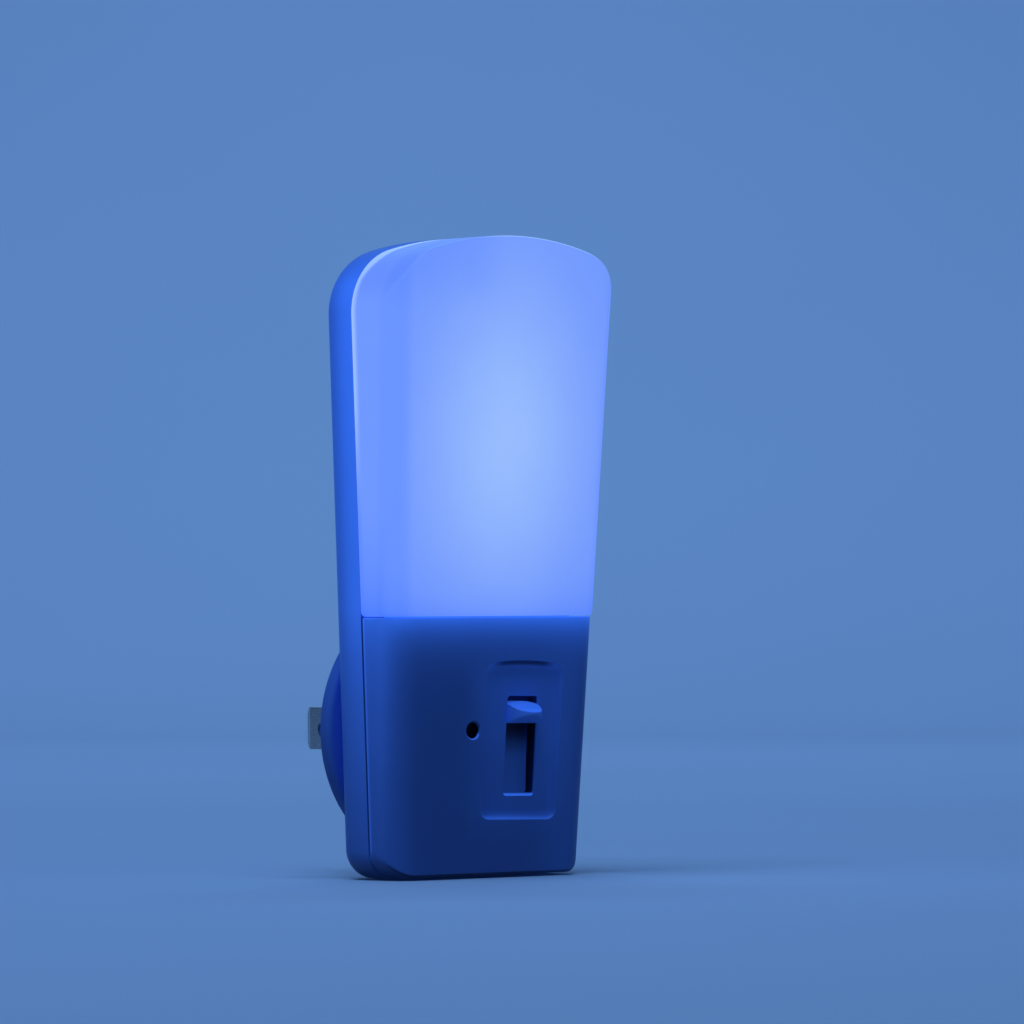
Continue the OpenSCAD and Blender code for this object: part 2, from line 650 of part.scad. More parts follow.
module photocell() color([0.78, 0.60, 0.30]) {
    post(sensor_x, cell_z, 4.6, 14.4, 16.1);
    // winding track on its face
    for (z = [-1.2 : 0.8 : 1.2]) box(sensor_x - 1.5, sensor_x + 1.5, 16.1, 16.2, cell_z + z - 0.15, cell_z + z + 0.15);
}
module photocell_leads() color([0.80, 0.80, 0.80])
    for (z = [-1.27, 1.27]) post(sensor_x, cell_z + z, 0.5, board_f, 14.4);
module sensor_sleeve() color([0.08, 0.08, 0.09]) {
    difference() {
        post(sensor_x, cell_z, 5.9, 11.6, 17.1);
        post(sensor_x, cell_z, 4.7, 11, 18);
    }
}

// ---------------------------------------------------------------- slide control

// at rest the carriage and knob stand at the upper end of their travel
knob_z = knob_travel / 2;
lever_h = 2;

module dimmer_case() color([0.75, 0.76, 0.78])
    at_slot() difference() {
        // folded steel case, open to the board, with a slit for the lever
        box(-3.6, 3.6, board_front, dimmer_front, -11, 11);
        box(-3.2, 3.2, board_front - 1, dimmer_front - 0.4, -10.6, 10.6);
        depth(10, 20) round_rect(2.0, knob_travel + lever_h + 1, 0.9);
    }
module dimmer_track() color([0.55, 0.35, 0.18])
    at_slot() difference() {
        box(-3.1, 3.1, board_front, board_front + 0.8, -10.5, 10.5);
        for (x = [-1.6, 1.6]) box(x - 0.6, x + 0.6, board_front + 0.7, 20, -9.5, 9.5);
    }
module dimmer_pins() color([0.80, 0.80, 0.80])
    at_slot() for (x = [-2, 2], z = [-11.6, 11.4]) {
        post(x, z, 0.8, board_f + 0.1, board_front + 0.9);
        box(x - 0.4, x + 0.4, board_front + 0.9, board_front + 1.3, min(z, sign(z) * 11.02), max(z, sign(z) * 11.02));
    }
// white plate that backs the slot, with legs down to the board
module slot_plate() color([0.86, 0.88, 0.92])
    at_slot() difference() {
        union() {
            box(-4.6, 4.6, dimmer_front + 0.1, plate_f, -10.2, 9.4);
            for (s = [-1, 1]) box(s * 4.2 - 0.4, s * 4.2 + 0.4, board_front, dimmer_front + 0.5, -4, 4);
        }
        depth(10, 20) round_rect(1.8, knob_travel + lever_h + 0.8, 0.85);
    }
module dimmer_carriage() color([0.92, 0.92, 0.90])
    at_slot() translate([0, 0, knob_z]) {
        box(-2.6, 2.6, board_front + 1.5, dimmer_front - 0.6, -2.5, 2.5);
        box(-0.7, 0.7, dimmer_front - 0.7, plate_f + 2.2, -lever_h / 2, lever_h / 2);
    }
// thin white film that slides with the knob and hides the plate's slit
module dust_strip() color([0.88, 0.90, 0.94])
    at_slot() translate([0, 0, knob_z]) difference() {
        depth(plate_f + 0.03, plate_f + 0.22) translate([0, -0.1]) round_rect(8.4, 24.5, 0.8);
        depth(10, 20) square([1.48, lever_h + 0.08], center = true);
    }
module dimmer_wiper() color([0.80, 0.60, 0.32])
    at_slot() translate([0, 0, knob_z]) for (x = [-1.6, 1.6])
        translate([x - 0.4, 0, 0]) rotate([90, 0, 90]) linear_extrude(0.8) polygon([
            [-board_front - 1.5, 1.8], [-board_front - 1.25, 1.8], [-board_front - 1.25, 0.9],
            [-board_front - 0.74, -0.9], [-board_front - 0.95, -1.3], [-board_front - 1.1, -1.1],
            [-board_front - 0.95, -0.9], [-board_front - 1.5, 0.8]]);

module slide_knob() color([0.90, 0.92, 0.95]) {
    foot = plate_f + 0.25;
    root = face(slot_x, slot_z + knob_z, 0) - panel_depth;
    tip = root + fin_reach;
    at_slot() translate([0, 0, knob_z]) difference() {
        // fin: round from above, its arched top sloping down to a thin front
        intersection() {
            translate([0, 0, -3]) linear_extrude(6) union() {
                translate([-2.85, -root - 0.2]) square([5.7, root + 0.2 - foot]);
                translate([0, -root - 0.1]) scale([2.85, fin_reach - 0.1]) circle(r = 1, $fn = 72);
            }
            translate([-5, 0, 0]) rotate([90, 0, 90]) linear_extrude(10) polygon([
                [-foot, -1.26], [-root - 0.3, -1.26], [-root - 1.8, -1.1], [-tip, -0.62],
                [-tip, -0.26], [-root - 1.9, 0.3], [-root - 0.35, 1.48], [-root + 0.1, knob_top],
                [-foot, knob_top]]);
            depth(foot - 1, tip + 1) intersection() {
                translate([-2.85, -3]) square([5.7, 6]);
                translate([0, knob_top - 8.4]) circle(r = 8.4, $fn = 120);
            }
        }
        // socket for the lever
        box(-0.74, 0.74, plate_f, plate_f + 2.3, -lever_h / 2 - 0.04, lever_h / 2 + 0.04);
    }
}

// ---------------------------------------------------------------- lamp

module reflector_tray() color([0.95, 0.96, 0.98]) {
    difference() {
        depth(tray_f, 16.4) polygon(flat2(diffuser_half(wall + 1.9, wall + 0.6)));
        depth(lamp_f - 0.05, 20) polygon(flat2(diffuser_half(wall + 2.9, wall + 1.6)));
        for (z = [led_board_z + 15, led_board_z + led_board_len - 5]) post(0, z, 2.2, 5, 20);
        // notch for the lamp leads
        box(-2.6, 2.6, 10, 20, 10, 23.6);
    }
}
module led_board() color([0.93, 0.94, 0.96])
    difference() {
        depth(lamp_f, lamp_f + lamp_t) translate([0, led_board_z + led_board_len / 2])
            round_rect(led_board_w, led_board_len, 1);
        for (z = [led_board_z + 15, led_board_z + led_board_len - 5]) post(0, z, 2.2, 5, 20);
    }
module led_chips() color([0.98, 0.92, 0.60])
    for (i = [0 : led_cols - 1], j = [0 : led_rows - 1])
        let (x = led_cols == 1 ? 0 : (i - 0.5) * 13,
             z = led_board_z + 6 + j * (led_board_len - 12) / (led_rows - 1))
        difference() {
            box(x - 1.4, x + 1.4, lamp_f + lamp_t, lamp_f + lamp_t + 0.8, z - 1.75, z + 1.75);
            post(x, z, 2.3, lamp_f + lamp_t + 0.6, 20);
        }
module led_leads() color([0.75, 0.12, 0.12])
    for (s = [-1, 1]) translate([s * 1.4, 0, 0]) {
        post(0, 14.8, 0.9, board_front, 12.0);
        bend(12.0, 14.8);
        translate([0, -12.0, 14.8]) cylinder(d = 0.9, h = 7.8);
        bend(12.0, 22.6);
        post(0, 22.6, 0.9, 12.0, 14.7);
        bend(14.7, 22.6);
        translate([0, -14.7, 22.6]) cylinder(d = 0.9, h = 2.8);
        // solder joints
        cone(0, 14.8, 1.9, 1.0, board_front, board_front + 0.4);
        cone(0, 25.2, 2.2, 1.2, lamp_f + lamp_t, lamp_f + lamp_t + 0.9);
    }
module bend(f, z) {
    translate([0, -f, z]) sphere(d = 0.9, $fn = 24);
}
module led_board_screws() color([0.72, 0.73, 0.75])
    for (z = [led_board_z + 15, led_board_z + led_board_len - 5])
        tapping_screw(0, z, 3.8, 0.9, 1.58, lamp_f + lamp_t + 0.9, 8);

rear_shell();
front_cover();
diffuser();
housing_screws();
plug_base();
plug_blades();
blade_rivets();
contact_springs();
swivel_retainer();
retainer_screws();
friction_washer();
inner_slip_ring();
outer_slip_ring();
main_board();
board_screws();
film_capacitor();
smoothing_capacitor();
fuse_resistor();
bleed_resistor();
bridge_rectifier();
driver_chip();
photocell();
photocell_leads();
sensor_sleeve();
dimmer_case();
dimmer_track();
dimmer_pins();
slot_plate();
dimmer_carriage();
dimmer_wiper();
dust_strip();
slide_knob();
reflector_tray();
led_board();
led_chips();
led_leads();
led_board_screws();
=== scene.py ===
import math

import bpy
import bmesh
import numpy as np
from mathutils import Matrix, Quaternion, Vector
from mathutils.geometry import delaunay_2d_cdt


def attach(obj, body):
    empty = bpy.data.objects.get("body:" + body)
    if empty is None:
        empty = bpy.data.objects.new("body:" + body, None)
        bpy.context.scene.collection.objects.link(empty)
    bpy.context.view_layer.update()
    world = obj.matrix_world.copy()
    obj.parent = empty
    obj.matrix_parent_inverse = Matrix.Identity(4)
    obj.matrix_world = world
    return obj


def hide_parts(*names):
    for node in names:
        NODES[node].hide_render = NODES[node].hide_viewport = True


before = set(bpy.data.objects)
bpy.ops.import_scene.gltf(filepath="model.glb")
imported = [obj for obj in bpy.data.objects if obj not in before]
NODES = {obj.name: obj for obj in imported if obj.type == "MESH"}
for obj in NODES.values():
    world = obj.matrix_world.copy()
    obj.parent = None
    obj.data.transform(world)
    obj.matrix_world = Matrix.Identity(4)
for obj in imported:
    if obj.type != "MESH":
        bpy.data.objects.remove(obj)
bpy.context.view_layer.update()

MM = 0.001

# ------------------------------------------------------------------ sizes, in mm
# X right, F out of the wall (world Y = -F), Z up
HALF_W, SLOPE = 19.75, 0.0345
TOP, CROWN, CORNER = 73.2, 54.0, 9.9
REAR_BOTTOM, BOTTOM_R = -21.9, 4.4
COVER_BOTTOM, SEAM = -21.6, 16.85
BACK, PART, FACE, LEAN = 4.8, 12.6, 19.7, 0.06
BULGE, PROUD, WALL, EDGE, REAR_EDGE = 0.35, 0.4, 1.6, 4.8, 4.0
SLOT_X, SLOT_Z, SLOT_W, SLOT_L, TILT = 5.36, -2.25, 5.9, 14.4, math.radians(1.2)
PANEL_W, PANEL_L, PANEL_Z, PANEL_D = 15.0, 23.2, -1.8, 0.9
SENSOR_X, SENSOR_R = -4.68, 1.2
PLATE = 16.1
KNOB_Z = 5.0
Q = math.hypot(1, SLOPE)
SIDE_A = -math.atan(SLOPE)
HAIR = 0.02  # the fine shells stay this far inside the construction's outline


def hw(z):
    return HALF_W + SLOPE * z


def fall(e, r):
    e = np.asarray(e, float)
    return np.where(e >= r, 0.0, r - np.sqrt(np.maximum(0, r * r - (r - np.minimum(e, r)) ** 2)))


def front(x, z, up=0.0, t=0.0):
    x, z = np.asarray(x, float), np.asarray(z, float)
    f = FACE + up + LEAN * z - BULGE * (x / hw(z)) ** 2 - t
    return f - fall(np.maximum(0, hw(z) - t - np.abs(x)), max(EDGE - t, 0.3))


PANEL_F0 = float(front(SLOT_X, PANEL_Z)) - PANEL_D


# ------------------------------------------------------------------ outlines
def arc(cx, cz, r, a0, a1, n):
    return [(cx + r * math.cos(a), cz + r * math.sin(a)) for a in np.linspace(a0, a1, n + 1)]


def corner_x(z, r, d):
    return HALF_W + SLOPE * z - (d + r) * Q


def line(p, q, n):
    """n points strictly between p and q"""
    return [(p[0] + (q[0] - p[0]) * i / (n + 1), p[1] + (q[1] - p[1]) * i / (n + 1)) for i in range(1, n + 1)]


def top_half(d, n, nc):
    cz, r, br = TOP - CROWN, CORNER - d, CROWN - d
    m = SLOPE
    a, k = HALF_W - (d + r) * Q, 1 + SLOPE * SLOPE
    b, c = 2 * a * m - 2 * cz, a * a + cz * cz - (br - r) ** 2
    z = (-b + math.sqrt(b * b - 4 * k * c)) / (2 * k)
    x = corner_x(z, r, d)
    a = math.atan2(z - cz, x)
    return arc(x, z, r, SIDE_A, a, n) + arc(0, cz, br, a, math.pi / 2, nc)[1:]


def both(half):
    """closes a right half, lowest point first, into a whole ring"""
    return half + [(-x, z) for x, z in half[-2:0:-1]]


def rear_ring(d, db=None, ns=26, nt=40, ncr=20):
    db = d if db is None else db
    r = max(BOTTOM_R - d, 0.05)
    z = REAR_BOTTOM + db + r
    x = corner_x(z, r, d)
    low = arc(x, z, r, -math.pi / 2, SIDE_A, 20)
    up = top_half(d, nt, ncr)
    return both([(0, low[0][1])] + line((0, low[0][1]), low[0], 10) + low + line(low[-1], up[0], ns) + up)


def cover_ring(d, seam_r=0.35, dt=None):
    dt = d if dt is None else dt
    r = max(BOTTOM_R - d, 0.05)
    z = COVER_BOTTOM + d + r
    x = corner_x(z, r, d)
    low = arc(x, z, r, -math.pi / 2, SIDE_A, 20)
    rs = max(seam_r - d, 0.03)
    zs = SEAM - 0.05 - dt - rs
    xs = corner_x(zs, rs, d)
    top = arc(xs, zs, rs, SIDE_A, math.pi / 2, 6)
    return both([(0, low[0][1])] + line((0, low[0][1]), low[0], 14) + low + line(low[-1], top[0], 30)
                + top + line(top[-1], (0, top[-1][1]), 18) + [(0, top[-1][1])])


def diffuser_ring(d, seam_r=0.8, dt=None, nt=44, ncr=24):
    dt = d if dt is None else dt
    rs = max(seam_r - d, 0.03)
    z = SEAM + 0.05 + dt + rs
    x = corner_x(z, rs, d)
    low = arc(x, z, rs, -math.pi / 2, SIDE_A, 8)
    up = top_half(d, nt, ncr)
    return both([(0, low[0][1])] + line((0, low[0][1]), low[0], 18) + low + line(low[-1], up[0], 34) + up)


# ------------------------------------------------------------------ mesh building
class Build:
    """vertices in mm as (x, F, z); made into a mesh in metres with world Y = -F"""

    def __init__(self):
        self.v, self.f = [], []

    def ring(self, pts, f):
        i = len(self.v)
        f = np.broadcast_to(np.asarray(f, float), (len(pts),))
        self.v += [(p[0], float(g), p[1]) for p, g in zip(pts, f)]
        return list(range(i, i + len(pts)))

    def points(self, pts):
        i = len(self.v)
        self.v += [tuple(map(float, p)) for p in pts]
        return list(range(i, i + len(pts)))

    def band(self, a, b):
        n = len(a)
        for i in range(n):
            j = (i + 1) % n
            self.f.append((a[i], a[j], b[j], b[i]))

    def bands(self, rings):
        for a, b in zip(rings[:-1], rings[1:]):
            self.band(a, b)

    def fan(self, ring, centre):
        (c,) = self.points([centre])
        for i in range(len(ring)):
            self.f.append((ring[i], ring[(i + 1) % len(ring)], c))

    def fill(self, outer, holes, lift, step=1.0, axes=(0, 2), clear=0.55, extra=()):
        """Delaunay fill between rings already added; lift(a, b) gives the new points' (x, F, z)"""
        loops = [outer] + list(holes)
        flat = [[(self.v[i][axes[0]], self.v[i][axes[1]]) for i in loop] for loop in loops]
        arr = [np.array(p) for p in flat]
        lo, hi = arr[0].min(0), arr[0].max(0)
        grid = []
        nb = int((hi[1] - lo[1]) / (step * 0.866)) + 1
        for j in range(nb + 1):
            b = lo[1] + j * step * 0.866
            for i in range(int((hi[0] - lo[0]) / step) + 2):
                grid.append((lo[0] + (i + 0.5 * (j % 2)) * step, b))
        grid = np.array(list(grid) + list(extra))
        keep = inside(grid, arr[0])
        for h in arr[1:]:
            keep &= ~inside(grid, h)
        alln = np.concatenate(arr)
        grid = grid[keep]
        if len(grid):
            far = np.array([np.min(np.hypot(*(alln - g).T)) for g in grid]) > clear * step
            grid = grid[far]
        verts = [Vector(p) for part in flat for p in part] + [Vector(g) for g in grid]
        edges, at = [], 0
        for part in flat:
            n = len(part)
            edges += [(at + i, at + (i + 1) % n) for i in range(n)]
            at += n
        out = delaunay_2d_cdt(verts, edges, [], 0, 1e-7)
        index = {}
        base = [i for loop in loops for i in loop]
        new = self.points([lift(*g) for g in grid]) if len(grid) else []
        every = base + new
        for k, orig in enumerate(out[3]):
            index[k] = every[orig[0]]
        # the triangles between the loops: spread out from a large one, never across a loop's edge
        where = {orig: k for k, origs in enumerate(out[3]) for orig in origs}
        walls = {frozenset((where[a], where[b])) for a, b in edges}
        tri = np.array([[out[0][i][:] for i in f] for f in out[2]])
        d1, d2 = tri[:, 1] - tri[:, 0], tri[:, 2] - tri[:, 0]
        area = np.abs(d1[:, 0] * d2[:, 1] - d1[:, 1] * d2[:, 0])
        mid = tri.mean(1)
        ok = inside(mid, arr[0])
        for h in arr[1:]:
            ok &= ~inside(mid, h)
        beside = {}
        for n, f in enumerate(out[2]):
            for a, b in zip(f, list(f[1:]) + [f[0]]):
                beside.setdefault(frozenset((a, b)), []).append(n)
        todo = [int(np.argmax(np.where(ok, area, -1)))]
        seen = set(todo)
        while todo:
            f = out[2][todo.pop()]
            for a, b in zip(f, list(f[1:]) + [f[0]]):
                e = frozenset((a, b))
                if e not in walls:
                    for n in beside[e]:
                        if n not in seen:
                            seen.add(n)
                            todo.append(n)
        for n in sorted(seen):
            self.f.append(tuple(index[i] for i in out[2][n]))

    def object(self, name, body, material=None, smooth=40, slot=None, replaces=()):
        me = bpy.data.meshes.new(name)
        me.from_pydata([(x * MM, -f * MM, z * MM) for x, f, z in self.v], [], self.f)
        bm = bmesh.new()
        bm.from_mesh(me)
        bmesh.ops.remove_doubles(bm, verts=bm.verts, dist=2e-7)
        bmesh.ops.holes_fill(bm, edges=[e for e in bm.edges if len(e.link_faces) == 1], sides=0)
        bmesh.ops.recalc_face_normals(bm, faces=bm.faces)
        bm.to_mesh(me)
        bm.free()
        return finish_mesh(me, name, body, material, smooth, replaces)


def finish_mesh(me, name, body, material=None, smooth=40, replaces=()):
    me.validate()
    me.polygons.foreach_set("use_smooth", [True] * len(me.polygons))
    if smooth:
        me.set_sharp_from_angle(angle=math.radians(smooth))
    o = bpy.data.objects.new(name, me)
    bpy.context.scene.collection.objects.link(o)
    if material is not None:
        me.materials.append(material)
    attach(o, body)
    if replaces:
        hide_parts(*replaces)
    return o


def inside(p, poly):
    """which points lie inside a closed polygon"""
    p = np.atleast_2d(np.asarray(p, float))
    x, y = p[:, 0], p[:, 1]
    res = np.zeros(len(p), bool)
    n = len(poly)
    for i in range(n):
        x0, y0 = poly[i]
        x1, y1 = poly[(i + 1) % n]
        if y0 == y1:
            continue
        c = (y0 > y) != (y1 > y)
        res ^= c & (x < (x1 - x0) * (y - y0) / (y1 - y0) + x0)
    return res


class Solids:
    """closed solids in one mesh, in mm, for adding to or cutting from a shell"""

    def __init__(self):
        self.bm = bmesh.new()

    def prism(self, plan, f0, f1):
        """plan is a closed outline of (x, z)"""
        a = [self.bm.verts.new((x * MM, -f0 * MM, z * MM)) for x, z in plan]
        b = [self.bm.verts.new((x * MM, -f1 * MM, z * MM)) for x, z in plan]
        self.bm.faces.new(a)
        self.bm.faces.new(b[::-1])
        n = len(plan)
        for i in range(n):
            j = (i + 1) % n
            self.bm.faces.new((a[i], b[i], b[j], a[j]))
        return self

    def post(self, x, z, r, f0, f1, n=64):
        return self.prism(circle(x, z, r, n), f0, f1)

    def cone(self, x, z, r0, r1, f0, f1, n=64):
        a = [self.bm.verts.new((p * MM, -f0 * MM, q * MM)) for p, q in circle(x, z, r0, n)]
        b = [self.bm.verts.new((p * MM, -f1 * MM, q * MM)) for p, q in circle(x, z, r1, n)]
        self.bm.faces.new(a)
        self.bm.faces.new(b[::-1])
        for i in range(n):
            j = (i + 1) % n
            self.bm.faces.new((a[i], b[i], b[j], a[j]))
        return self

    def box(self, x0, x1, f0, f1, z0, z1, turn=0.0):
        c, s = math.cos(turn), math.sin(turn)
        return self.prism([(x * c + z * s, -x * s + z * c) for x, z in ((x0, z0), (x1, z0), (x1, z1), (x0, z1))], f0, f1)

    def object(self):
        bmesh.ops.recalc_face_normals(self.bm, faces=self.bm.faces)
        me = bpy.data.meshes.new("tool")
        self.bm.to_mesh(me)
        self.bm.free()
        o = bpy.data.objects.new("tool", me)
        bpy.context.scene.collection.objects.link(o)
        return o


def csg(o, solids, op, smooth=40):
    """joins solids to a piece, or cuts them out of it"""
    tool = solids.object()
    mod = o.modifiers.new("csg", "BOOLEAN")
    mod.operation, mod.solver, mod.object = op, "MANIFOLD", tool
    bpy.context.view_layer.update()
    me = bpy.data.meshes.new_from_object(o.evaluated_get(bpy.context.evaluated_depsgraph_get()))
    o.modifiers.clear()
    old = o.data
    o.data = me
    me.name = old.name
    bpy.data.meshes.remove(old)
    data = tool.data
    bpy.data.objects.remove(tool)
    bpy.data.meshes.remove(data)
    me.polygons.foreach_set("use_smooth", [True] * len(me.polygons))
    me.set_sharp_from_angle(angle=math.radians(smooth))
    return o


def slot_frame(x, z, cx, cz):
    """from the slot's leaning frame to the row's"""
    return cx + x * math.cos(TILT) + z * math.sin(TILT), cz - x * math.sin(TILT) + z * math.cos(TILT)


def rounded(w, h, r, n=8, m=6, bow=0.0):
    """closed rounded rectangle about the origin; bow lifts the top edge's middle"""
    r = max(r, 0.02)
    pts = []
    for sx, sz, a0 in ((1, -1, -90), (1, 1, 0), (-1, 1, 90), (-1, -1, 180)):
        c = arc(sx * (w / 2 - r), sz * (h / 2 - r), r, math.radians(a0), math.radians(a0 + 90), n)
        if pts:
            pts += line(pts[-1], c[0], m)
        pts += c
    pts += line(pts[-1], pts[0], m)
    if bow:
        half = w / 2 - r * 0.3
        pts = [(x, z + (bow * max(0.0, 1 - (x / half) ** 2) if z > h / 2 - r else 0.0)) for x, z in pts]
    return pts


def steps(r, n=6):
    """inset and drop of a quarter round of radius r, from the wall's top inwards"""
    return [(r * (1 - math.cos(a)), r * (1 - math.sin(a))) for a in np.linspace(0, math.pi / 2, n + 1)]


# ------------------------------------------------------------------ materials
class Mat:
    """a Principled material with a few helpers; coordinates are the row frame in metres"""

    def __init__(self, name, base, rough, metal=0.0, **sockets):
        self.m = bpy.data.materials.new(name)
        self.m.use_nodes = True
        self.nt = self.m.node_tree
        self.nodes, self.links = self.nt.nodes, self.nt.links
        self.p = next(n for n in self.nodes if n.type == "BSDF_PRINCIPLED")
        self.p.inputs["Base Color"].default_value = (*base, 1)
        self.p.inputs["Roughness"].default_value = rough
        self.p.inputs["Metallic"].default_value = metal
        for k, v in sockets.items():
            self.p.inputs[k.replace("_", " ")].default_value = v
        self.base, self.rough = base, rough
        self.tc = self.nodes.new("ShaderNodeTexCoord")

    def node(self, kind, **inputs):
        n = self.nodes.new(kind)
        for k, v in inputs.items():
            n.inputs[k.replace("_", " ")].default_value = v
        return n

    def math(self, op, a, b=None, c=None, clamp=False):
        n = self.nodes.new("ShaderNodeMath")
        n.operation, n.use_clamp = op, clamp
        for i, x in enumerate((a, b, c)):
            if x is None:
                continue
            if isinstance(x, (int, float)):
                n.inputs[i].default_value = x
            else:
                self.links.new(x, n.inputs[i])
        return n.outputs[0]

    def noise(self, scale, detail=2.0, rough=0.5, stretch=None, distortion=0.0):
        n = self.node("ShaderNodeTexNoise", Scale=scale, Detail=detail, Roughness=rough, Distortion=distortion)
        src = self.tc.outputs["Object"]
        if stretch:
            mp = self.nodes.new("ShaderNodeMapping")
            mp.inputs["Scale"].default_value = stretch
            self.links.new(src, mp.inputs["Vector"])
            src = mp.outputs[0]
        self.links.new(src, n.inputs["Vector"])
        return n.outputs["Fac"]

    def voronoi(self, scale, stretch=None, feature="F1"):
        n = self.node("ShaderNodeTexVoronoi", Scale=scale)
        n.feature = feature
        self.links.new(self.tc.outputs["Object"], n.inputs["Vector"])
        return n.outputs["Distance"]

    def ramp(self, fac, stops, interp="LINEAR"):
        n = self.nodes.new("ShaderNodeValToRGB")
        r = n.color_ramp
        r.interpolation = interp
        while len(r.elements) < len(stops):
            r.elements.new(0.5)
        for e, (pos, col) in zip(r.elements, stops):
            e.position = pos
            e.color = (*col, 1) if len(col) == 3 else col
        self.links.new(fac, n.inputs[0])
        return n.outputs[0]

    def range(self, v, a, b, c, d, smooth=False):
        n = self.nodes.new("ShaderNodeMapRange")
        n.interpolation_type = "SMOOTHSTEP" if smooth else "LINEAR"
        for i, x in enumerate((a, b, c, d)):
            n.inputs[i + 1].default_value = x
        self.links.new(v, n.inputs[0])
        return n.outputs[0]

    def mix(self, fac, a, b, blend="MIX"):
        n = self.nodes.new("ShaderNodeMix")
        n.data_type, n.blend_type = "RGBA", blend
        for sock, x in ((n.inputs[0], fac), (n.inputs[6], a), (n.inputs[7], b)):
            if isinstance(x, (int, float)):
                sock.default_value = x
            elif isinstance(x, tuple):
                sock.default_value = (*x, 1) if len(x) == 3 else x
            else:
                self.links.new(x, sock)
        return n.outputs[2]

    def bump(self, *layers):
        """layers of (height output, distance in mm, strength)"""
        prev = None
        for height, dist, strength in layers:
            b = self.node("ShaderNodeBump", Strength=strength, Distance=dist * MM)
            self.links.new(height, b.inputs["Height"])
            if prev is not None:
                self.links.new(prev, b.inputs["Normal"])
            prev = b.outputs[0]
        self.links.new(prev, self.p.inputs["Normal"])
        return self

    def to(self, socket, out):
        self.links.new(out, self.p.inputs[socket])
        return self

    def xyz(self):
        """x, F and z of the surface in mm"""
        s = self.nodes.new("ShaderNodeSeparateXYZ")
        self.links.new(self.tc.outputs["Object"], s.inputs[0])
        return (self.math("MULTIPLY", s.outputs[0], 1000), self.math("MULTIPLY", s.outputs[1], -1000),
                self.math("MULTIPLY", s.outputs[2], 1000))


def shade(c, k):
    return tuple(max(0.0, min(1.0, x * k)) for x in c)


def moulded(name, base, rough=0.42, grain=0.010, tone=0.05, **sockets):
    """satin moulded plastic: spark-eroded grain, faint flow clouds, roughness that varies"""
    m = Mat(name, base, rough, **sockets)
    cloud = m.noise(90, 3, 0.55)
    flow = m.noise(34, 4, 0.6, stretch=(1, 1, 0.35), distortion=0.8)
    fine = m.noise(5200, 2, 0.6)
    specks = m.voronoi(3000)
    both = m.math("ADD", m.math("MULTIPLY", cloud, 0.6), m.math("MULTIPLY", flow, 0.4))
    m.to("Base Color", m.ramp(both, [(0.3, shade(base, 1 - tone)), (0.7, shade(base, 1 + tone))]))
    m.to("Roughness", m.range(m.noise(600, 4, 0.6), 0.3, 0.7, rough - 0.05, rough + 0.06))
    m.bump((cloud, 0.03, 0.25), (fine, grain, 0.35), (specks, grain * 0.8, 0.25))
    return m


def metal(name, base, rough=0.28, brushed=None, tone=0.08, scratch=0.006, **sockets):
    m = Mat(name, base, rough, 1.0, **sockets)
    cloud = m.noise(220, 4, 0.6)
    fine = m.noise(2600, 3, 0.6, stretch=brushed or (1, 1, 1))
    m.to("Base Color", m.ramp(cloud, [(0.3, shade(base, 1 - tone)), (0.72, shade(base, 1 + tone * 0.5))]))
    m.to("Roughness", m.range(fine, 0.25, 0.75, rough - 0.07, rough + 0.12))
    m.bump((fine, scratch, 0.4), (cloud, 0.01, 0.2))
    return m


# the mouldings, as they look in the lamp's own blue light
PLASTIC = (0.165, 0.33, 0.88)
SOFT = {"Specular_IOR_Level": 0.32}

shell_mat = moulded("shell_plastic", PLASTIC, rough=0.46, **SOFT)
cover_mat = moulded("cover_plastic", PLASTIC, rough=0.44, **SOFT)
knob_mat = moulded("knob_plastic", (0.17, 0.34, 0.90), rough=0.40, **SOFT)
base_mat = moulded("base_plastic", (0.16, 0.32, 0.86), rough=0.5, **SOFT)
plate_mat = moulded("plate_plastic", (0.13, 0.26, 0.60), rough=0.5, **SOFT)
film_mat = moulded("strip_film", (0.12, 0.22, 0.50), rough=0.5, **SOFT)

diffuser_mat = Mat("milky_diffuser", (0.22, 0.27, 0.38), 0.38, Specular_IOR_Level=0.3)


def step(m, v, a, b):
    """0 below a, 1 above b, smooth between"""
    return m.range(v, a, b, 0.0, 1.0, True)


def add(m, *v):
    out = v[0]
    for w in v[1:]:
        out = m.math("ADD", out, w)
    return out


def times(m, *v):
    out = v[0]
    for w in v[1:]:
        out = m.math("MULTIPLY", out, w)
    return out


def curve(m, v, pts):
    """piecewise straight curve through (position, value) points, values 0 to 1"""
    lo, hi = pts[0][0], pts[-1][0]
    fac = m.range(v, lo, hi, 0.0, 1.0)
    return m.ramp(fac, [((p - lo) / (hi - lo), (g, g, g)) for p, g in pts])


def emit(m, r, g, b):
    n = m.nodes.new("ShaderNodeCombineColor")
    for i, v in enumerate((r, g, b)):
        if isinstance(v, (int, float)):
            n.inputs[i].default_value = v
        else:
            m.links.new(v, n.inputs[i])
    m.to("Emission Color", n.outputs[0])
    m.p.inputs["Emission Strength"].default_value = 1.0


def paint_light(m, level):
    """painted light, as emission: stands in for the lamp's light through a shell and for light falling on a surface;
    level is its blue part
    """
    level = times(m, level, m.range(m.noise(120, 3, 0.5), 0.3, 0.7, 0.97, 1.03))
    emit(m, times(m, level, 0.034), times(m, level, 0.168), level)


# painted light on the sides by height: brightest near the diffuser, falling off towards the bottom and over the top
SIDE_PAINTED_LIGHT = [(-22, 0.0), (-11, 0.05), (-3.6, 0.10), (4, 0.15), (11, 0.23), (18, 0.38), (40, 0.42), (60, 0.46), (66, 0.40),
             (70, 0.12), (74, 0.0)]


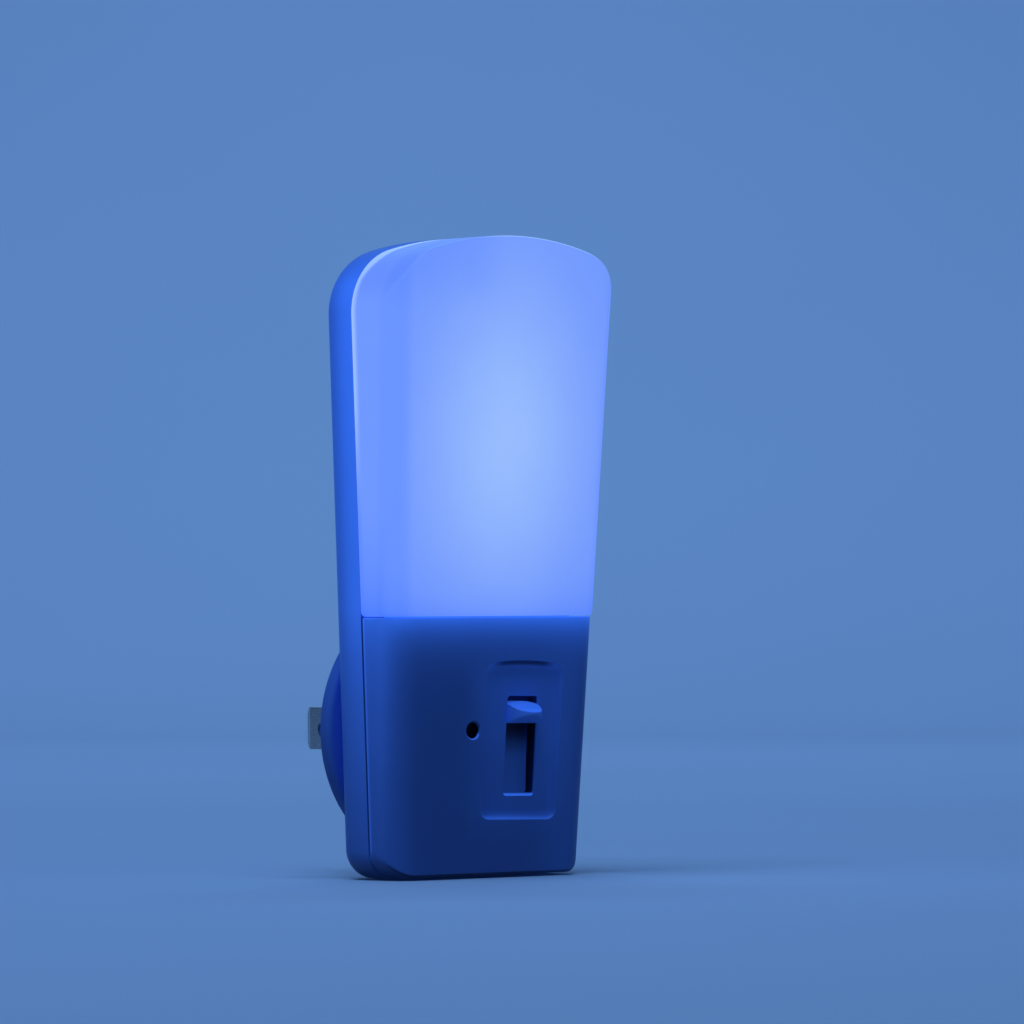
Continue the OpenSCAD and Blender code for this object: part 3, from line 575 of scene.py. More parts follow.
def light_the_shell(m):
    x, f, z = m.xyz()
    # painted light on the shell, stronger towards the parting plane
    level = times(m, curve(m, z, SIDE_PAINTED_LIGHT), curve(m, f, [(4.8, 0.55), (7.5, 0.6), (8.6, 0.72), (9.8, 1.0), (11.2, 1.18),
                                                          (12.4, 1.25)]))
    nx, ny, nz = normal(m)
    # painted shade: the front-facing lip at the parting line gets no painted light, so the groove there reads dark
    lip = times(m, step(m, ny, -0.9, -0.7), 0.999)
    paint_light(m, times(m, level, lip, 1.14))
    # painted shade: faces turned downwards are darker in the base colour
    keep = m.math("SUBTRACT", 1.0, times(m, step(m, times(m, nz, -1.0), 0.25, 0.7), 0.40))
    painted_shade = m.nodes.new("ShaderNodeCombineColor")
    for i in range(3):
        m.links.new(keep, painted_shade.inputs[i])
    base = m.p.inputs["Base Color"].links[0].from_socket
    m.to("Base Color", m.mix(1.0, base, painted_shade.outputs[0], "MULTIPLY"))


def slot_coords(m, x, z, cx, cz):
    u, w = m.math("SUBTRACT", x, cx), m.math("SUBTRACT", z, cz)
    c, s = math.cos(TILT), math.sin(TILT)
    return (m.math("SUBTRACT", times(m, u, c), times(m, w, s)), add(m, times(m, u, s), times(m, w, c)))


def box_mask(m, u, w, a, b, soft):
    """1 inside a box of half sizes a and b"""
    au, aw = m.math("ABSOLUTE", u), m.math("ABSOLUTE", w)
    return times(m, m.math("SUBTRACT", 1.0, step(m, au, a - soft, a + soft)), m.math("SUBTRACT", 1.0, step(m, aw, b - soft, b + soft)))


def normal(m):
    n = m.nodes.new("ShaderNodeSeparateXYZ")
    m.links.new(m.tc.outputs["Normal"], n.inputs[0])
    return n.outputs


def light_the_cover(m):
    x, f, z = m.xyz()
    nx, ny, nz = normal(m)
    # painted light: a pool of light under the seam that falls off downwards, and painted light on the sides
    down = m.math("SUBTRACT", 16.8, z)
    near = times(m, m.math("EXPONENT", times(m, down, -1 / 2.2)), 0.62)
    far = times(m, m.math("EXPONENT", times(m, down, -1 / 9.0)), 0.05)
    depth = m.math("SUBTRACT", add(m, times(m, z, LEAN), FACE), f)
    side = times(m, curve(m, z, SIDE_PAINTED_LIGHT), 0.92, step(m, depth, 0.5, 4.0))
    front_part = times(m, add(m, near, far), m.math("SUBTRACT", 1.0, times(m, step(m, depth, 0.5, 4.0), 0.75)))
    # painted shade inside the shadow groove at the parting line and inside the shell, and a painted highlight on the
    # cover's edge beside the groove
    edge = m.math("SUBTRACT", add(m, times(m, z, SLOPE), HALF_W), m.math("ABSOLUTE", x))
    straight = step(m, z, -18.5, -17.5)
    groove = times(m, step(m, edge, 0.06, 0.16), m.math("SUBTRACT", 1.0, step(m, f, 12.95, 13.1)), straight)
    lit_edge = times(m, step(m, f, 12.96, 13.06), m.math("SUBTRACT", 1.0, step(m, f, 13.3, 13.6)), straight,
                     m.math("SUBTRACT", 1.0, step(m, edge, 0.10, 0.2)), 0.16)
    # recess: its walls get painted light by the way they face, with a painted highlight on the upward-facing ledge;
    # painted light also on the panel around it and to its right
    u, w = slot_coords(m, x, z, SLOT_X - 0.6, PANEL_Z)
    recess = box_mask(m, u, w, 8.2, 12.5, 0.3)
    away = times(m, step(m, nx, 0.08, 0.6), 0.02)
    under = times(m, step(m, times(m, nz, -1.0), 0.12, 0.7),
                  times(m, step(m, m.math("ABSOLUTE", u), 4.2, 6.4), 0.05))
    over = times(m, step(m, nz, 0.35, 0.9), 0.19)
    floor = m.range(add(m, z, times(m, x, 0.6)), -12, 9, 0.035, 0.075, True)
    wide = box_mask(m, u, w, 9.5, 11.5, 4.0)
    recess_light = add(m, times(m, add(m, away, under, over), recess), times(m, floor, wide))
    right = times(m, step(m, x, 5.0, 15.0), m.math("SUBTRACT", 1.0, times(m, wide, 0.8)), 0.032)
    # inside the slot: painted shade, and a painted highlight on its lower lip
    su, sw = slot_coords(m, x, z, SLOT_X, SLOT_Z)
    floor_f = add(m, times(m, m.math("SUBTRACT", z, PANEL_Z), LEAN), PANEL_F0)
    below = m.math("SUBTRACT", floor_f, f)
    slot = times(m, box_mask(m, su, sw, 3.3, 7.5, 0.1), step(m, below, 0.06, 0.5))
    lip = times(m, step(m, times(m, sw, -1.0), 7.15, 7.3), step(m, sw, -8.1, -7.8), m.math("SUBTRACT", 1.0, step(m, m.math("ABSOLUTE", su), 3.0, 3.2)),
                step(m, nz, 0.3, 0.6), m.math("SUBTRACT", 1.0, step(m, below, 2.0, 2.4)))
    # painted highlight on the lower half of the sensor hole's bevel, and painted shade down its bore
    du = m.math("SUBTRACT", x, SENSOR_X)
    ring = m.math("SUBTRACT", 1.0, step(m, add(m, times(m, du, du), times(m, z, z)), 1.5 ** 2, 1.6 ** 2))
    bevel = times(m, ring, step(m, nz, 0.15, 0.5), 0.30)
    r2, deep = add(m, times(m, du, du), times(m, z, z)), m.math("SUBTRACT", float(front(SENSOR_X, 0.0)), f)
    bore = m.math("MAXIMUM", times(m, m.math("SUBTRACT", 1.0, step(m, r2, 2.2 ** 2, 2.35 ** 2)), step(m, deep, 0.25, 0.34)),
                  times(m, m.math("SUBTRACT", 1.0, step(m, r2, 4.2 ** 2, 4.4 ** 2)), step(m, deep, 1.4, 1.5)))
    dark = m.math("MINIMUM", add(m, groove, slot, bore), 1.0)
    # painted shade: a dark arc along the recess's downward-facing top wall
    arch = times(m, step(m, times(m, nz, -1.0), 0.42, 0.72), m.math("SUBTRACT", 1.0, step(m, m.math("ABSOLUTE", u), 3.4, 6.4)), recess)
    # painted shade: a dark line along the round of the lower edge, outside the recess
    ridge = times(m, step(m, times(m, nz, -1.0), 0.12, 0.4), m.math("SUBTRACT", 1.0, step(m, times(m, nz, -1.0), 0.8, 0.96)),
                  step(m, times(m, ny, -1.0), 0.15, 0.35), m.math("SUBTRACT", 1.0, recess))
    open_ = m.math("SUBTRACT", 1.0, dark)
    paint_light(m, add(m, times(m, add(m, side, front_part, recess_light, right), open_, m.math("SUBTRACT", 1.0, arch)),
                times(m, lip, 0.44), bevel, lit_edge))
    # painted shade in the base colour: groove, slot and bore, recess walls facing left, faces turned downwards, the
    # dark arc and the ridge
    toward = times(m, step(m, times(m, nx, -1.0), 0.1, 0.6), recess, 0.12)
    low = times(m, step(m, times(m, nz, -1.0), 0.25, 0.7), m.math("SUBTRACT", 1.0, recess), 0.35)
    keep = times(m, m.math("SUBTRACT", 1.0, times(m, dark, 0.88)), m.math("SUBTRACT", 1.0, toward), m.math("SUBTRACT", 1.0, low),
                 m.math("SUBTRACT", 1.0, times(m, arch, 0.6)), m.math("SUBTRACT", 1.0, times(m, ridge, 0.65)))
    painted_shade = m.nodes.new("ShaderNodeCombineColor")
    for i in range(3):
        m.links.new(keep, painted_shade.inputs[i])
    base = m.p.inputs["Base Color"].links[0].from_socket
    m.to("Base Color", m.mix(1.0, base, painted_shade.outputs[0], "MULTIPLY"))


def light_the_knob(m):
    """painted light on the knob, brightest on its top as from the seam above; painted shade on its far side inside the
    slot
    """
    nx, ny, nz = normal(m)
    x, f, z = m.xyz()
    root = float(front(SLOT_X, SLOT_Z + KNOB_Z)) - PANEL_D
    # painted shade on the far side of the part inside the slot
    far = times(m, m.math("SUBTRACT", 1.0, step(m, f, root - 0.1, root + 0.9)), step(m, x, SLOT_X - 2.6, SLOT_X - 0.8),
                m.math("SUBTRACT", 1.0, step(m, nz, 0.1, 0.4)))
    open_ = m.math("SUBTRACT", 1.0, times(m, far, 0.92))
    # painted light on the nose's front
    nose = times(m, step(m, f, root + 1.4, root + 2.6), m.math("SUBTRACT", 1.0, step(m, times(m, nz, -1.0), 0.1, 0.5)), 0.06)
    paint_light(m, times(m, add(m, times(m, step(m, nz, 0.15, 0.7), 0.28), nose, 0.12), open_))
    painted_shade = m.nodes.new("ShaderNodeCombineColor")
    for i in range(3):
        m.links.new(open_, painted_shade.inputs[i])
    base = m.p.inputs["Base Color"].links[0].from_socket
    m.to("Base Color", m.mix(1.0, base, painted_shade.outputs[0], "MULTIPLY"))


def light_the_strip(m):
    """painted light on the film behind the slot, with a painted shadow of the knob around it"""
    x, f, z = m.xyz()
    su, sw = slot_coords(m, x, z, SLOT_X, SLOT_Z)
    off = m.math("ABSOLUTE", m.math("SUBTRACT", sw, KNOB_Z))
    paint_light(m, times(m, step(m, off, 3.4, 7.5), 0.10))
    keep = m.range(step(m, off, 2.4, 5.0), 0, 1, 0.25, 1.0)
    painted_shade = m.nodes.new("ShaderNodeCombineColor")
    for i in range(3):
        m.links.new(keep, painted_shade.inputs[i])
    base = m.p.inputs["Base Color"].links[0].from_socket
    m.to("Base Color", m.mix(1.0, base, painted_shade.outputs[0], "MULTIPLY"))


def light_the_diffuser(m):
    x, f, z = m.xyz()
    d = m.math("SUBTRACT", add(m, times(m, z, LEAN), FACE + PROUD), f)
    # the lamp board's light, brightest level with its middle
    dx = m.math("DIVIDE", m.math("ADD", x, 0.5), 15.0)
    dz = m.math("DIVIDE", m.math("SUBTRACT", z, 43.0), 23.0)
    hot = m.math("EXPONENT", times(m, add(m, times(m, dx, dx), times(m, dz, dz)), -1.0))
    hot = times(m, hot, 0.155, m.math("SUBTRACT", 1.0, step(m, d, 0.1, 1.8)))
    # a slightly darker turn where the long edges round over
    band = times(m, step(m, d, 0.3, 1.0), m.math("SUBTRACT", 1.0, step(m, d, 3.8, 5.2)), -0.015)
    # dimmer next to the seam, and low on the sides
    seam = times(m, m.math("EXPONENT", times(m, m.math("SUBTRACT", z, 16.9), -0.25)), -0.055)
    low = times(m, step(m, d, 2.0, 5.0), m.math("SUBTRACT", 1.0, step(m, z, 18.0, 36.0)), -0.03)
    # the rim passes light to its edge
    # painted highlight: a bright strip along the rim next to the parting plane, strongest high up
    nx, ny, nz = normal(m)
    strip = m.math("SUBTRACT", 1.0, step(m, m.math("SUBTRACT", f, times(m, step(m, nz, 0.45, 0.95), 1.4)), 12.9, 14.15))
    rim = add(m, times(m, step(m, z, 30.0, 52.0), 0.185), times(m, step(m, z, 62.0, 70.0), 0.005),
              times(m, m.math("SUBTRACT", 1.0, step(m, z, 18.0, 30.0)), 0.02), -0.03)
    middle = step(m, x, -8.0, 0.0)
    # painted highlight along the top edge's round on the right
    crest = times(m, step(m, d, 0.03, 0.25), step(m, z, 66.0, 70.0), step(m, nz, 0.3, 0.7), middle, 0.10)
    turn = times(m, step(m, z, 60.0, 69.0), m.math("SUBTRACT", 1.0, middle), -0.022)
    # the upper wall catches the studio light, so it needs less of its own
    up = times(m, step(m, nz, 0.1, 0.7), step(m, d, 0.4, 1.6), m.math("SUBTRACT", 1.0, strip), middle)
    high = times(m, step(m, nz, 0.03, 0.3), m.math("SUBTRACT", 1.0, step(m, nz, 0.7, 0.95)), m.math("SUBTRACT", 1.0, step(m, d, 0.6, 1.2)))
    level = add(m, hot, band, seam, low, times(m, rim, strip), crest, turn, times(m, high, middle, -0.02), times(m, up, -0.05), 0.151)
    grain = m.noise(160, 3, 0.5)
    level = times(m, level, m.range(grain, 0.3, 0.7, 0.985, 1.015))
    green = add(m, times(m, m.math("SUBTRACT", level, 0.091), 1.262), times(m, up, -0.012), 0.212)
    emit(m, level, green, 0.93)
    fine = m.noise(4200, 2, 0.6)
    m.to("Roughness", m.range(m.noise(500, 3, 0.5), 0.3, 0.7, 0.34, 0.42))
    tone = m.ramp(m.noise(70, 3, 0.5), [(0.3, (0.21, 0.255, 0.36)), (0.7, (0.23, 0.28, 0.40))])
    # painted shade: upward-facing walls on the left, outside the rim strip, are darker in the base colour
    keep = m.math("SUBTRACT", 1.0, times(m, step(m, nz, 0.05, 0.45), m.math("SUBTRACT", 1.0, middle), m.math("SUBTRACT", 1.0, strip), 0.7))
    painted_shade = m.nodes.new("ShaderNodeCombineColor")
    for i in range(3):
        m.links.new(keep, painted_shade.inputs[i])
    m.to("Base Color", m.mix(1.0, tone, painted_shade.outputs[0], "MULTIPLY"))
    m.bump((fine, 0.006, 0.3))


light_the_shell(shell_mat)
light_the_cover(cover_mat)
light_the_knob(knob_mat)
light_the_strip(film_mat)
light_the_diffuser(diffuser_mat)


# ------------------------------------------------------------------ diffuser
def make_diffuser():
    b = Build()
    ins = [s[0] for s in steps(0.5, 7)]
    ins += [0.7, 1.0, 1.4, 1.8, 2.2, 2.6, 3.0, 3.4, 3.8, 4.2, 4.6, EDGE, 5.3, 6.0]

    def at(e, t=0.0):
        pts = diffuser_ring(HAIR + e + t)
        x, z = np.array(pts).T
        return pts, front(x, z, PROUD, t) - fall(e, 0.5 if t == 0 else 0.05)

    rings = []
    for e in reversed(ins):
        pts, f = at(e)
        rings.append(b.ring(pts, f))
    b.fill(rings[0], [], lambda x, z: (x, float(front(x, z, PROUD)), z), step=1.5)
    f0 = np.array([b.v[i][1] for i in rings[-1]])
    lip = 0.16
    for k in (0.2, 0.45, 0.7, 0.9):
        rings.append(b.ring(diffuser_ring(HAIR), f0 + (13.2 - f0) * k))
    for d, drop in [(0.0, 0.0)] + [(lip * (1 - math.cos(a)), lip * math.sin(a)) for a in np.linspace(0, math.pi / 2, 5)[1:]]:
        rings.append(b.ring(diffuser_ring(HAIR + d), PART + 0.03 + lip - drop))
    b.bands(rings)
    # inside of the wall
    inner = [b.ring(diffuser_ring(WALL), PART + 0.03)]
    for e in (0.0, 0.3, 0.8, 1.5, 2.4, EDGE - WALL):
        pts, f = at(e, WALL - HAIR)
        inner.append(b.ring(pts, f))
    b.band(rings[-1], inner[0])
    b.bands(inner)
    b.fill(inner[-1], [], lambda x, z: (x, float(front(x, z, PROUD, WALL)), z), step=3.0)
    o = b.object("diffuser_cap", "housing", diffuser_mat.m, 40, "milky_diffuser", ["diffuser"])
    # groove for the cover's tongue
    csg(o, Solids().box(-17.6, 17.6, 14.35, 16.15, SEAM - 1, SEAM + 0.55), "DIFFERENCE")
    return o


# ------------------------------------------------------------------ front cover
PANEL_C = (SLOT_X - 0.6, PANEL_Z)


def panel_floor(z):
    return PANEL_F0 + LEAN * (z - PANEL_Z)


def panel_loop(grow, r):
    pts = rounded(PANEL_W + 2 * grow, PANEL_L + 2 * grow, r, 8, 12, 0.45)
    return [slot_frame(x, z, *PANEL_C) for x, z in pts]


def slot_loop(grow, lip=0.0):
    pts = rounded(SLOT_W + 2 * grow, SLOT_L + 2 * grow, 0.5 + grow, 5, 8)
    pts = [(x, z - (lip if z < 0 and z < -(SLOT_L / 2 - 0.6) else 0.0)) for x, z in pts]
    return [slot_frame(x, z, SLOT_X, SLOT_Z) for x, z in pts]


def circle(cx, cz, r, n=64):
    return [(cx + r * math.cos(a), cz + r * math.sin(a)) for a in np.linspace(0, 2 * math.pi, n, endpoint=False)]


def make_cover():
    b = Build()
    crisp = 0.5
    ins = [s[0] for s in steps(crisp, 7)] + [0.7, 1.0, 1.4, 1.8, 2.2, 2.6, 3.0, 3.4, 3.8, 4.2, EDGE - 0.2]
    seam_crisp = 0.22

    def height(x, z, e=None):
        """front surface; the seam edge is crisper than the outline"""
        f = front(x, z)
        es = np.maximum(0, SEAM - 0.05 - HAIR - np.asarray(z, float))
        return f - fall(es, seam_crisp)

    def at(e):
        pts = cover_ring(HAIR + e, dt=HAIR + min(e, 0.22) * 1.0 + max(0.0, e - 0.22))
        x, z = np.array(pts).T
        f = height(x, z)
        # distance to the outline's sides and bottom, but not to the seam
        side = np.minimum((hw(z) - np.abs(x)) / Q, z - COVER_BOTTOM) - HAIR
        side = np.where(z < COVER_BOTTOM + BOTTOM_R, e, side)
        return pts, f - fall(np.maximum(side, 0), crisp)

    rings = []
    for e in reversed(ins):
        pts, f = at(e)
        rings.append(b.ring(pts, f))
    inner_edge = rings[0]

    # recessed panel: a small round at its brim, then a cove down to the flat floor
    run, end = 1.5, math.radians(61)
    r = run / math.sin(end)
    prof = [(0.16, 0.0), (0.06, 0.0), (0.03, 0.008), (0.0, 0.028), (-0.025, 0.06)]
    for a in np.linspace(end * 0.96, 0, 13):
        prof.append((-(run - r * math.sin(a)), PANEL_D - r * (1 - math.cos(a))))
    prof.append((-run - 0.12, PANEL_D))
    loops = []
    for grow, depth in prof:
        pts = panel_loop(grow, max(1.75 + grow, 0.5))
        x, z = np.array(pts).T
        s = height(x, z)
        fl = panel_floor(z)
        k = min(1.0, depth / PANEL_D)
        # the brim follows the bowed face and the floor is flat
        f = s + (fl - s) * k
        loops.append(b.ring(pts, f))
    b.bands(loops)

    # sensor hole with its bevel
    sens = []
    for r, depth in ((1.58, 0.0), (1.46, 0.0), (1.41, 0.012), (1.37, 0.045), (1.31, 0.10), (1.26, 0.15), (1.22, 0.20),
                     (SENSOR_R, 0.26), (SENSOR_R, 0.45)):
        pts = circle(SENSOR_X, 0, r)
        x, z = np.array(pts).T
        sens.append(b.ring(pts, height(x, z) - depth))
    b.bands(sens)

    b.fill(inner_edge, [loops[0], sens[0]], lambda x, z: (x, float(height(x, z)), z), step=1.1)

    # slot: small round at the floor, straight walls, a sloping lip at its lower end
    slot = []
    for grow, depth, lip in ((0.30, 0.0, 0.42), (0.10, 0.0, 0.44), (0.05, 0.012, 0.43), (0.02, 0.04, 0.41),
                             (0.0, 0.09, 0.37), (0.0, 0.3, 0.2), (0.0, 0.5, 0.04), (0.0, 0.6, 0.0),
                             (0.0, 1.2, 0.0), (0.0, 2.1, 0.0)):
        pts = slot_loop(grow, lip)
        z = np.array(pts)[:, 1]
        slot.append(b.ring(pts, np.maximum(panel_floor(z) - depth, 16.38)))
    b.bands(slot)
    b.fill(loops[-1], [slot[0]], lambda x, z: (x, float(panel_floor(z)), z), step=1.0)

    # side wall down to the groove at the parting plane
    g, lip = 0.34, 0.12
    pts0, _ = at(0.0)
    f0 = np.array([b.v[i][1] for i in rings[-1]])
    foot = PART + g + lip
    for k in (0.2, 0.6):
        rings.append(b.ring(pts0, f0 + (foot - f0) * k))
    flush, near, deep = (np.array(cover_ring(d, dt=HAIR)) for d in (HAIR, HAIR + lip, 0.37))
    k = np.clip((flush[:, 1] + 18.9) / 1.4, 0.02, 1)[:, None]
    k = k * k * (3 - 2 * k)
    for a in np.linspace(0, math.pi / 2, 5):
        rings.append(b.ring(flush + (near - flush) * (1 - math.cos(a)) * k, foot - lip * math.sin(a)))
    rings.append(b.ring(flush + (deep - flush) * k, PART + g))
    rings.append(b.ring(flush + (deep - flush) * k, PART + 0.01))
    b.bands(rings)

    # inside
    def in_height(x, z):
        f = front(x, z, 0, WALL)
        u = (np.asarray(x) - PANEL_C[0])
        w = (np.asarray(z) - PANEL_C[1])
        pad = np.clip((PANEL_W / 2 + 0.9 - np.abs(u)) / 0.5, 0, 1) * np.clip((PANEL_L / 2 + 0.4 - np.abs(w)) / 0.5, 0, 1)
        return f + (np.minimum(f, panel_floor(np.asarray(z, float)) - 1.25) - f) * pad

    inner = [b.ring(cover_ring(WALL, dt=WALL), PART + 0.01)]
    for e in (0.0, 0.3, 0.8, 1.5, 2.4, EDGE - WALL):
        pts = cover_ring(WALL + e, dt=WALL + min(e, 1.0))
        x, z = np.array(pts).T
        inner.append(b.ring(pts, front(x, z, 0, WALL)))
    b.band(rings[-1], inner[0])
    b.bands(inner)
    sin_pts = circle(SENSOR_X, 0, 2.5)
    x, z = np.array(sin_pts).T
    s_in = b.ring(sin_pts, in_height(x, z))
    b.band(sens[-1], s_in)
    sl = slot_loop(0.0)
    x, z = np.array(sl).T
    l_in = b.ring(sl, in_height(x, z))
    b.band(slot[-1], l_in)
    b.fill(inner[-1], [s_in, l_in], lambda x, z: (x, float(in_height(x, z)), z), step=1.0)
    o = b.object("front_cover_shell", "housing", cover_mat.m, 40, "shell_white", ["front_cover"])
    # tongue at the seam, socket of the sensor's sleeve, bosses of the housing screws
    more = Solids().box(-17.4, 17.4, 14.5, 16.0, SEAM - 0.6, SEAM + 0.4)
    more.post(SENSOR_X, 0, 3.8, 15.6, 18.5)
    for s in (-1, 1):
        more.post(s * 13.5, -16.9, 2.2, 11.1, 17.6)
    csg(o, more, "UNION")
    cut = Solids().post(SENSOR_X, 0, 3.05, 10, 17.2).cone(SENSOR_X, 0, 2.5, 1.19, 17.1, 19.3)
    for s in (-1, 1):
        cut.post(s * 13.5, -16.9, 0.85, 10, 16)
    csg(o, cut, "DIFFERENCE")
    return o


# ------------------------------------------------------------------ rear shell
def make_rear():
    b = Build()
    lip = 0.12
    outer = []
    # from the hub's bore outwards over the back, round the rear edge, up to the parting plane
    hub = 12.06
    bore = []
    for r, f in ((hub, BACK + WALL + 0.2), (hub, BACK + 0.9), (hub, BACK + 0.25), (hub + 0.04, BACK + 0.14), (hub + 0.12, BACK + 0.05),
                 (hub + 0.25, BACK), (hub + 0.6, BACK)):
        bore.append(b.ring(circle(0, 0, r, 160), f))
    b.bands(bore)
    for a in np.linspace(math.pi / 2, 0, 13):
        off = REAR_EDGE * (1 - math.cos(a))
        outer.append(b.ring(rear_ring(HAIR + off), BACK + REAR_EDGE * (1 - math.sin(a))))
    b.fill(outer[0], [bore[-1]], lambda x, z: (x, BACK, z), step=1.6)
    outer.append(b.ring(rear_ring(HAIR), (BACK + REAR_EDGE + PART) / 2))
    flush, near = np.array(rear_ring(HAIR)), np.array(rear_ring(HAIR + lip))
    k = np.clip((flush[:, 1] + 18.9) / 1.4, 0, 1)
    r = 0.01 + (lip - 0.01) * k * k * (3 - 2 * k)
    for a in np.linspace(0, math.pi / 2, 5):
        outer.append(b.ring(flush + (near - flush) * ((1 - math.cos(a)) * r / lip)[:, None], PART - r * (1 - math.sin(a))))
    b.bands(outer)
    # inside
    rim, ri = WALL + 0.8, REAR_EDGE - WALL
    inner = [b.ring(rear_ring(WALL, rim), PART)]
    for a in np.linspace(0, math.pi / 2, 6):
        inner.append(b.ring(rear_ring(WALL + ri * (1 - math.cos(a)), rim + ri * (1 - math.cos(a))), BACK + WALL + ri * (1 - math.sin(a))))
    b.band(outer[-1], inner[0])
    b.bands(inner)
    hole = b.ring(circle(0, 0, hub, 160), BACK + WALL)
    b.band(bore[0], hole)
    b.fill(inner[-1], [hole], lambda x, z: (x, BACK + WALL, z), step=2.2)
    o = b.object("rear_shell_body", "housing", shell_mat.m, 40, "shell_white", ["rear_shell"])
    floor = BACK + 1.0
    add = Solids()
    for s in (-1, 1):
        add.post(s * 13.5, -16.9, 2.7, floor, 9.9)
        add.post(s * 13.2, 14.4, 2.2, floor, 9.9)
        add.box(-1.5, 1.5, floor, BACK + WALL + 2, 15.5, 17.2, turn=math.radians(s * 103))
        add.box(s * 8 - 0.5, s * 8 + 0.5, floor, BACK + WALL + 1, 37, 66)
    for z in (39, 59):
        add.post(0, z, 2.3, floor, 12.1)
    csg(o, add, "UNION")
    cut = Solids()
    for s in (-1, 1):
        cut.post(s * 13.5, -16.9, 1.2, BACK + 1.0, 11)
        cut.post(s * 13.5, -16.9, 2.1, BACK - 1, BACK + 1.9)
        cut.post(s * 13.2, 14.4, 0.8, BACK + 1.8, 11)
    for z in (39, 59):
        cut.post(0, z, 0.8, BACK + 2.2, 13)
    csg(o, cut, "DIFFERENCE")
    return o


# ------------------------------------------------------------------ slide knob
def make_knob():
    b = Build()
    root = float(front(SLOT_X, SLOT_Z + KNOB_Z)) - PANEL_D
    tip = root + 3.05
    foot = PLATE + 0.25
    hwid, reach, crown = 2.85, 2.95, 9.6
    r_up, r_down = 0.16, 0.30

    def soft(f, fs, zs):
        """a bent line with its bends eased"""
        f = np.asarray(f, float)
        w = np.linspace(-0.3, 0.3, 13)
        k = np.exp(-(w / 0.14) ** 2)
        return sum(kk * np.interp(f + ww, fs, zs) for ww, kk in zip(w, k)) / k.sum()

    top = ([foot, root - 0.1, root + 0.35, root + 1.9, tip], [1.48, 1.48, 1.42, 0.40, -0.16])
    bottom = ([foot, root + 0.3, root + 1.2, root + 2.0, tip], [-1.86, -1.84, -1.55, -1.22, -0.70])

    def up(x, f):
        x, f = np.asarray(x, float), np.asarray(f, float)
        share = np.interp(f, [root + 0.6, tip], [1.0, 0.45])
        return soft(f, *top) - (crown - np.sqrt(crown ** 2 - x ** 2)) * share

    def down(x, f):
        x, f = np.asarray(x, float), np.asarray(f, float)
        lift = np.interp(f, [root + 0.4, root + 2.2], [0.0, 0.18]) * (x / hwid) ** 2
        return soft(f, *bottom) + lift

    def loop(e):
        """plan outline inset by e: straight sides and a half ellipse"""
        a, c = hwid - e, reach - e
        cf = root + 0.1
        side = [(a, foot + (cf - foot) * t) for t in np.linspace(0, 1, 12)[:-1]]
        nose = [(a * math.cos(t), cf + c * math.sin(t)) for t in np.linspace(0, math.pi / 2, 30)]
        half = side + nose
        foot_edge = [(a * t, foot) for t in np.linspace(-1, 1, 14)[1:-1]]
        return foot_edge + half + [(-x, f) for x, f in half[-2::-1]]

    def place(pts, z):
        out = []
        for (x, f), zz in zip(pts, z):
            wx, wz = slot_frame(x, float(zz) + KNOB_Z, SLOT_X, SLOT_Z)
            out.append((wx, f, wz))
        return b.points(out)

    def rings(r, fn, sign):
        out = []
        for e, _ in steps(r, 6):
            pts = loop(e)
            x, f = np.array(pts).T
            near_foot = f < foot + 1e-6
            d = float(fall(e, r))
            mid = (up(x, f) + down(x, f)) / 2
            z = fn(x, f) - sign * d
            z = np.maximum(z, mid) if sign > 0 else np.minimum(z, mid)
            out.append(place(pts, np.where(near_foot, fn(x, f), z)))
        return out

    upper, lower = rings(r_up, up, 1), rings(r_down, down, -1)
    b.band(lower[0], upper[0])
    b.bands(upper)
    b.bands(lower)

    # top and bottom: fill in plan, then lift
    def close(ring, fn, e):
        c = Build()
        rr = c.ring(loop(e), 0.0)
        c.fill(rr, [], lambda x, z: (x, 0.0, z), step=0.3)
        new = []
        for x, _, f in c.v[len(rr):]:
            new += place([(x, f)], [fn(x, f)])
        every = ring + new
        for face in c.f:
            b.f.append(tuple(every[i] for i in face))

    close(upper[-1], up, steps(r_up, 6)[-1][0])
    close(lower[-1], down, steps(r_down, 6)[-1][0])
    return b.object("slide_knob_fin", "knob", knob_mat.m, 35, "shell_white", ["slide_knob"])


# ------------------------------------------------------------------ plug base and blades
def lathe(profile, n=180):
    """closed turning about the Y axis from (radius, F) points, first and last on the axis"""
    b = Build()
    rings = [b.ring(circle(0, 0, r, n), f) for r, f in profile[1:-1]]
    b.bands(rings)
    b.fan(rings[0], (0, profile[0][1], 0))
    b.fan(rings[-1], (0, profile[-1][1], 0))
    return b


def quarter(cr, cf, r, a0, a1, n=6):
    return [(cr + r * math.cos(math.radians(a)), cf + r * math.sin(math.radians(a))) for a in np.linspace(a0, a1, n + 1)]


